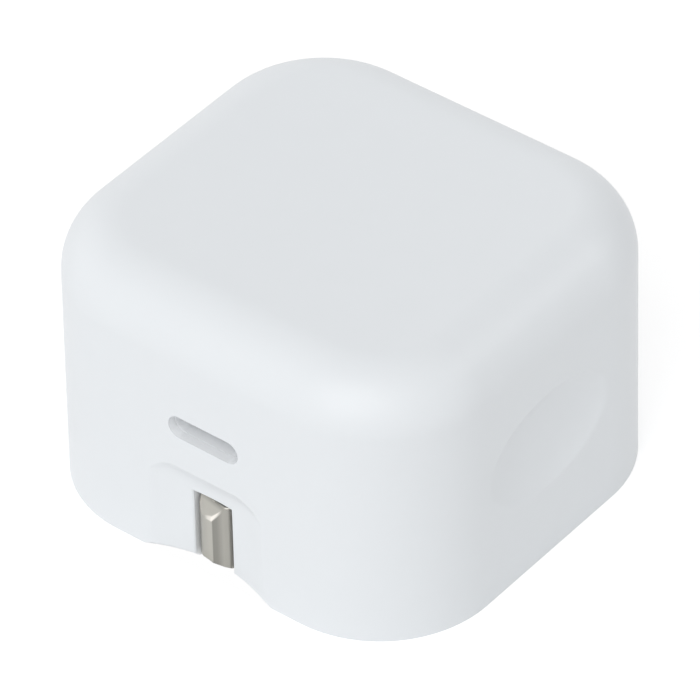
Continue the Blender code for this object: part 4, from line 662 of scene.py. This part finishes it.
# --------------------------------------- housing
def body_form(inset, bottom, corner_steps, fillet_steps):
    """Rounded box with a filleted top and drafted sides, set in by the wall."""
    half = BODY / 2
    top = BODY.z - inset
    bm = rounded_box((inset - half.x, inset - half.y, bottom), (half.x - inset, half.y - inset, top), 2,
                     CORNER_RADIUS - inset, corner_steps)
    rim = [edge for edge in bm.edges if all(abs(vert.co.z - top) < SAME_PLACE for vert in edge.verts)]
    bevel(bm, rim, TOP_FILLET - inset, fillet_steps)
    for vert in bm.verts:
        lean = WALL_DRAFT * max(vert.co.z, 0.0) / BODY.z
        vert.co.x *= 1 - lean / half.x
        vert.co.y *= 1 - lean / half.y
    return bm


def plate_rebate():
    """The wider lower end of the hollow, where the pin plate sits."""
    half = BODY / 2
    return rounded_box((RIM_WALL - half.x, RIM_WALL - half.y, -WALL),
                       (half.x - RIM_WALL, half.y - RIM_WALL, PLATE_THICKNESS + SEAT_GAP), 2,
                       CORNER_RADIUS - RIM_WALL, CORNER_STEPS)


def backing_block():
    """The thick part of the front wall behind the thumb scoop."""
    return box((-BACKING_X, -BODY.y / 2 - WALL, -2 * WALL), (BACKING_X, BACKING_Y, SCOOP_HEIGHT + WALL))


def round_ended_hole(half_width, half_height, front_y, steps):
    """Body of a hole from front_y back through the front wall, about the socket's middle."""
    return rounded_box((-half_width, front_y, PORT_Z - half_height),
                       (half_width, 2 * WALL - BODY.y / 2, PORT_Z + half_height), 1,
                       half_height - ROUND_END_GAP, steps)


def soft_rim(depth, softness):
    """Depth of a hollow that runs out softly where it would come to an edge, at depth 0."""
    return softness * log(1 + exp(depth / softness))


def scoop_depth(x, z):
    """Depth of the scoop behind the foot of the front face: a hollow back that a sloping ledge runs into."""
    hollow = soft_rim(SCOOP_DEPTH - x * x / (2 * SCOOP_RADIUS), SCOOP_RIM_SOFTNESS)
    across = abs(x) - (SCOOP_WIDTH / 2 - SCOOP_CORNER)
    upward = z - (SCOOP_HEIGHT - SCOOP_CORNER)
    outside = hypot(max(across, 0.0), max(upward, 0.0)) + min(max(across, upward), 0.0) - SCOOP_CORNER
    ledge = WALL_DRAFT * max(z, 0.0) / BODY.z - LEDGE_SLOPE * outside
    if ledge <= 0.0:
        return ledge
    return hollow * ledge / (hollow ** LEDGE_FOOT + ledge ** LEDGE_FOOT) ** (1 / LEDGE_FOOT)


def scoop_form():
    """Body in front of the scoop's surface."""
    reach_x = SCOOP_REACH * SCOOP_WIDTH
    low_z = -WALL
    high_z = SCOOP_HEIGHT + SCOOP_DEPTH / 2
    bm = bmesh.new()
    bmesh.ops.create_grid(bm, x_segments=SCOOP_STEPS, y_segments=SCOOP_STEPS, size=1.0)
    for vert in bm.verts:
        x = vert.co.x * reach_x
        z = low_z + (vert.co.y + 1) / 2 * (high_z - low_z)
        vert.co = (x, scoop_depth(x, z) - BODY.y / 2, z)
    front = bmesh.ops.extrude_face_region(bm, geom=bm.faces[:])
    for item in front["geom"]:
        if isinstance(item, bmesh.types.BMVert):
            item.co.y = -BODY.y / 2 - 2 * SCOOP_DEPTH
    bmesh.ops.recalc_face_normals(bm, faces=bm.faces)
    return bm


def lip_drum():
    """Slanting drum that cuts a shallow arc out of the scoop's lower edge."""
    bm = bmesh.new()
    bmesh.ops.create_cone(bm, cap_ends=True, segments=LIP_STEPS, radius1=SCOOP_LIP_RADIUS,
                          radius2=SCOOP_LIP_RADIUS, depth=4 * SCOOP_HEIGHT,
                          matrix=Matrix.Translation((0.0, -SCOOP_LIP_RADIUS, 0.0)))
    middle = Matrix.Translation((0.0, SCOOP_DEPTH - BODY.y / 2, SCOOP_LIP_HEIGHT))
    bm.transform(middle @ Matrix.Rotation(SCOOP_LIP_TILT, 4, "X"))
    return bm


def recess_form(side):
    """Shallow oval hollow for a side wall, whose rim runs out softly into the wall."""
    reach = RECESS_DEPTH / (1 - sqrt(1 - RECESS_EDGE_SHARE ** 2))
    bm = bmesh.new()
    chain = []
    for step in range(RECESS_RINGS + 1):
        share = RECESS_REACH * step / RECESS_RINGS
        inside = 1 - (RECESS_EDGE_SHARE * share) ** 2
        hollow = reach * (sqrt(inside) - sqrt(1 - RECESS_EDGE_SHARE ** 2))
        chain.append(bm.verts.new((-soft_rim(hollow, RECESS_RIM_SOFTNESS), share, 0.0)))
    chain.append(bm.verts.new((RECESS_DEPTH, chain[-1].co.y, 0.0)))
    chain.append(bm.verts.new((RECESS_DEPTH, 0.0, 0.0)))
    edges = [bm.edges.new(pair) for pair in zip(chain, chain[1:])]
    bmesh.ops.spin(bm, geom=chain + edges, cent=(0.0, 0.0, 0.0), axis=(1.0, 0.0, 0.0), angle=2 * pi,
                   steps=RECESS_STEPS, use_merge=True)
    bmesh.ops.remove_doubles(bm, verts=bm.verts, dist=SPIN_WELD)
    wall_x = BODY.x / 2 - WALL_DRAFT * RECESS_Z / BODY.z
    lean = Matrix.Rotation(-side * WALL_DRAFT / BODY.z, 4, "Y")
    size = Matrix.Diagonal((side, RECESS_SIZE[0] / 2, RECESS_SIZE[1] / 2, 1.0))
    bm.transform(Matrix.Translation((side * wall_x, 0.0, RECESS_Z)) @ lean @ size)
    bmesh.ops.recalc_face_normals(bm, faces=bm.faces)
    return bm


def on_slot_rim(place):
    """The edge between the scoop and the slot of the earth pin."""
    beside = abs(place.x) < PIN_SLOT_HALF + SLOT_RIM_PLAY
    within = RIM_REACH < place.z < PIN_SLOT_TOP + SLOT_RIM_PLAY
    return beside and within and RIM_REACH - BODY.y / 2 < place.y < SCOOP_DEPTH + RIM_REACH - BODY.y / 2


def on_port_rim(place):
    """The outer edge of the socket opening."""
    width, height = PORT_SIZE
    around = abs(place.x) < width / 2 + RIM_REACH and abs(place.z - PORT_Z) < height / 2 + RIM_REACH
    return around and place.y < RIM_REACH - BODY.y / 2


def build_housing():
    half = BODY / 2
    shell = add_object("housing_moulding", body_form(0.0, 0.0, CORNER_STEPS, FILLET_STEPS))
    cut(shell, without(body_form(WALL, -WALL, INNER_CORNER_STEPS, INNER_FILLET_STEPS), backing_block()))
    cut(shell, without(plate_rebate(), backing_block()))
    cut(shell, scoop_form())
    cut(shell, lip_drum())
    cut(shell, box((-PIN_SLOT_HALF, -half.y - WALL, -WALL), (PIN_SLOT_HALF, BACKING_Y + WALL, PIN_SLOT_TOP)))
    cut(shell, round_ended_hole(PORT_SIZE[0] / 2, PORT_SIZE[1] / 2, -half.y - WALL, PORT_END_STEPS))
    seat_half_width, seat_half_height = (size / 2 + SOCKET_SHEET + SEAT_GAP for size in SOCKET_SIZE)
    seat_y = WALL_DRAFT * PORT_Z / BODY.z - half.y + PORT_WALL
    cut(shell, round_ended_hole(seat_half_width, seat_half_height, seat_y, SEAT_END_STEPS))
    for side in (-1, 1):
        cut(shell, recess_form(side))

    bm = bmesh.new()
    bm.from_mesh(shell.data)
    merge(bm, HOUSING_WELD, HOUSING_FLATNESS)
    for rounding, on_rim in ((SLOT_ROUNDING, on_slot_rim), (PORT_ROUNDING, on_port_rim)):
        rim = [edge for edge in creases(bm) if on_rim((edge.verts[0].co + edge.verts[1].co) / 2)]
        bevel(bm, rim, rounding, RIM_STEPS)
    old = shell.data
    made = add_object("housing_moulding_shaped", bm)
    shell.data = made.data
    bpy.data.objects.remove(made)
    bpy.data.meshes.remove(old)
    return dress(shell, "housing_shell")


# --------------------------------------- pins and smaller pieces
def build_earth_pin():
    """Earth pin whose end falls back from a ridge, more steeply near the sides, under a slanting bevel.

    Its lower edge is cut off too, and its root, behind the shoulder, is smaller all round.
    """
    low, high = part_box("earth_pin")
    tip = low.y
    bm = box(low, (high.x, EARTH_SHOULDER_Y, high.z))
    bm.faces.ensure_lookup_table()
    back = max(bm.faces, key=lambda face: face.calc_center_median().y)
    bmesh.ops.inset_individual(bm, faces=[back], thickness=PIN_NECK_STEP)
    root = bmesh.ops.extrude_discrete_faces(bm, faces=[back])["faces"][0]
    bmesh.ops.translate(bm, verts=root.verts, vec=(0.0, high.y - EARTH_SHOULDER_Y, 0.0))
    cuts = []
    for slope, start_x in ((TIP_FACET_SLOPE, 0.0), (TIP_SIDE_SLOPE, TIP_SIDE_X)):
        start_y = tip + TIP_FACET_SLOPE * start_x
        cuts += [((side * start_x, start_y, 0.0), (side * slope, -1.0, 0.0)) for side in (1, -1)]
    cuts.append(((0.0, tip, high.z - TIP_BEVEL_DROP), (-TIP_BEVEL_SIDE, -TIP_BEVEL_BACK, 1.0)))
    cuts.append(((0.0, tip, low.z + TIP_FOOT_RISE), (0.0, -TIP_FOOT_SLOPE, -1.0)))
    for point, outward in cuts:
        bmesh.ops.bisect_plane(bm, geom=bm.verts[:] + bm.edges[:] + bm.faces[:], plane_co=point,
                               plane_no=outward, clear_outer=True)
        bmesh.ops.holes_fill(bm, edges=[edge for edge in bm.edges if edge.is_boundary])
    bmesh.ops.recalc_face_normals(bm, faces=bm.faces)
    bevel(bm, [edge for edge in bm.edges if edge.is_convex], BLADE_ROUNDING, BLADE_STEPS)
    bmesh.ops.remove_doubles(bm, verts=bm.verts, dist=BLADE_WELD)
    bmesh.ops.dissolve_degenerate(bm, dist=BLADE_WELD, edges=bm.edges)
    blade = dress(add_object("earth_pin_blade", bm), "earth_pin")
    blade.data.materials[0] = tip_with_painted_light("earth_pin_tip_painted_light", NICKEL, tip, high.z - TIP_BEVEL_DROP)
    return blade


def rounded_copy(node, width):
    """Copy of a node with its sharp edges rounded."""
    bm = bmesh.new()
    bm.from_mesh(frame["nodes"][node].data)
    merge(bm, COPY_WELD, COPY_FLATNESS)
    bevel(bm, creases(bm), width, EDGE_STEPS)
    return dress(add_object(f"{node}_rounded", bm), node)


# --------------------------------------- stage
def add_camera():
    back = Vector((sin(AZIMUTH) * cos(ELEVATION), -cos(AZIMUTH) * cos(ELEVATION), sin(ELEVATION)))
    right = Vector((cos(AZIMUTH), sin(AZIMUTH), 0.0))
    up = back.cross(right)
    across = right * cos(ROLL) + up * sin(ROLL)
    upward = up * cos(ROLL) - right * sin(ROLL)
    data = bpy.data.cameras.new("camera")
    data.sensor_width = SENSOR_WIDTH
    data.lens = LENS
    data.clip_start = NEAREST
    camera = bpy.data.objects.new("camera", data)
    turn = Matrix((across, upward, back)).transposed().to_4x4()
    camera.matrix_world = Matrix.Translation(TARGET + back * DISTANCE) @ turn
    bpy.context.scene.collection.objects.link(camera)
    bpy.context.scene.camera = camera


def floor_form():
    """Flat sheet round the adapter's outline, open under the plug face, where the pins stand out."""
    half = BODY / 2
    bm = rounded_box((-half.x, -half.y, -FLOOR_DROP), (half.x, half.y, WALL), 2, CORNER_RADIUS,
                     FLOOR_CORNER_STEPS)
    bmesh.ops.delete(bm, geom=[vert for vert in bm.verts if vert.co.z > 0], context="VERTS")
    bmesh.ops.delete(bm, geom=bm.faces[:], context="FACES_ONLY")
    rim = bmesh.ops.extrude_edge_only(bm, edges=bm.edges[:])
    for item in rim["geom"]:
        if isinstance(item, bmesh.types.BMVert):
            item.co = item.co.normalized() * FLOOR_REACH
            item.co.z = -FLOOR_DROP
    return bm


def add_floor():
    """Floor that shows almost white from above and not at all from below."""
    floor = add_object("floor", floor_form(), smooth=False)
    if floor.data.polygons[0].normal.z < 0:
        floor.data.flip_normals()
    finish = Finish("pale_floor")
    plain = finish.node("BsdfDiffuse", {}, {"Color": FLOOR_GREY})
    bright = finish.node("Emission", {}, {"Color": WHITE, "Strength": FLOOR_GLOW})
    lit = finish.node("AddShader", {}, {0: plain, 1: bright})
    shown = finish.choice(finish.seen_directly(), plain, lit)
    from_below = finish.node("NewGeometry", output="Backfacing")
    both = finish.choice(from_below, shown, finish.node("BsdfTransparent"))
    finish.put(finish.tree.nodes["Material Output"].inputs["Surface"], both)
    floor.data.materials.append(finish.material)


def add_world():
    world = bpy.context.scene.world or bpy.data.worlds.new("studio")
    bpy.context.scene.world = world
    world.use_nodes = True
    world.node_tree.nodes.clear()
    nodes = Nodes(world.node_tree)
    soft = nodes.node("Background", {}, {"Color": WHITE, "Strength": WORLD_STRENGTH})
    white = nodes.node("Background", {}, {"Color": WHITE, "Strength": 1.0})
    nodes.node("OutputWorld", {}, {"Surface": nodes.choice(nodes.seen_directly(), soft, white)})


def add_lamps():
    for name, energy, elevation, compass, spread in LAMPS:
        lamp = bpy.data.lights.new(name, "SUN")
        lamp.energy = energy
        lamp.angle = radians(spread)
        rise, turn = radians(elevation), radians(compass)
        towards = Vector((cos(rise) * cos(turn), cos(rise) * sin(turn), sin(rise)))
        made = bpy.data.objects.new(name, lamp)
        made.rotation_mode = "QUATERNION"
        made.rotation_quaternion = towards.to_track_quat("Z", "Y")
        bpy.context.scene.collection.objects.link(made)


# --------------------------------------- assembly
for name in list(frame["nodes"]):
    plain_finish(name)
build_housing()
build_earth_pin()
for name, width in EDGE_ROUNDING.items():
    rounded_copy(name, width)

add_camera()
add_floor()
add_world()
add_lamps()
bpy.context.scene.view_settings.view_transform = "Standard"
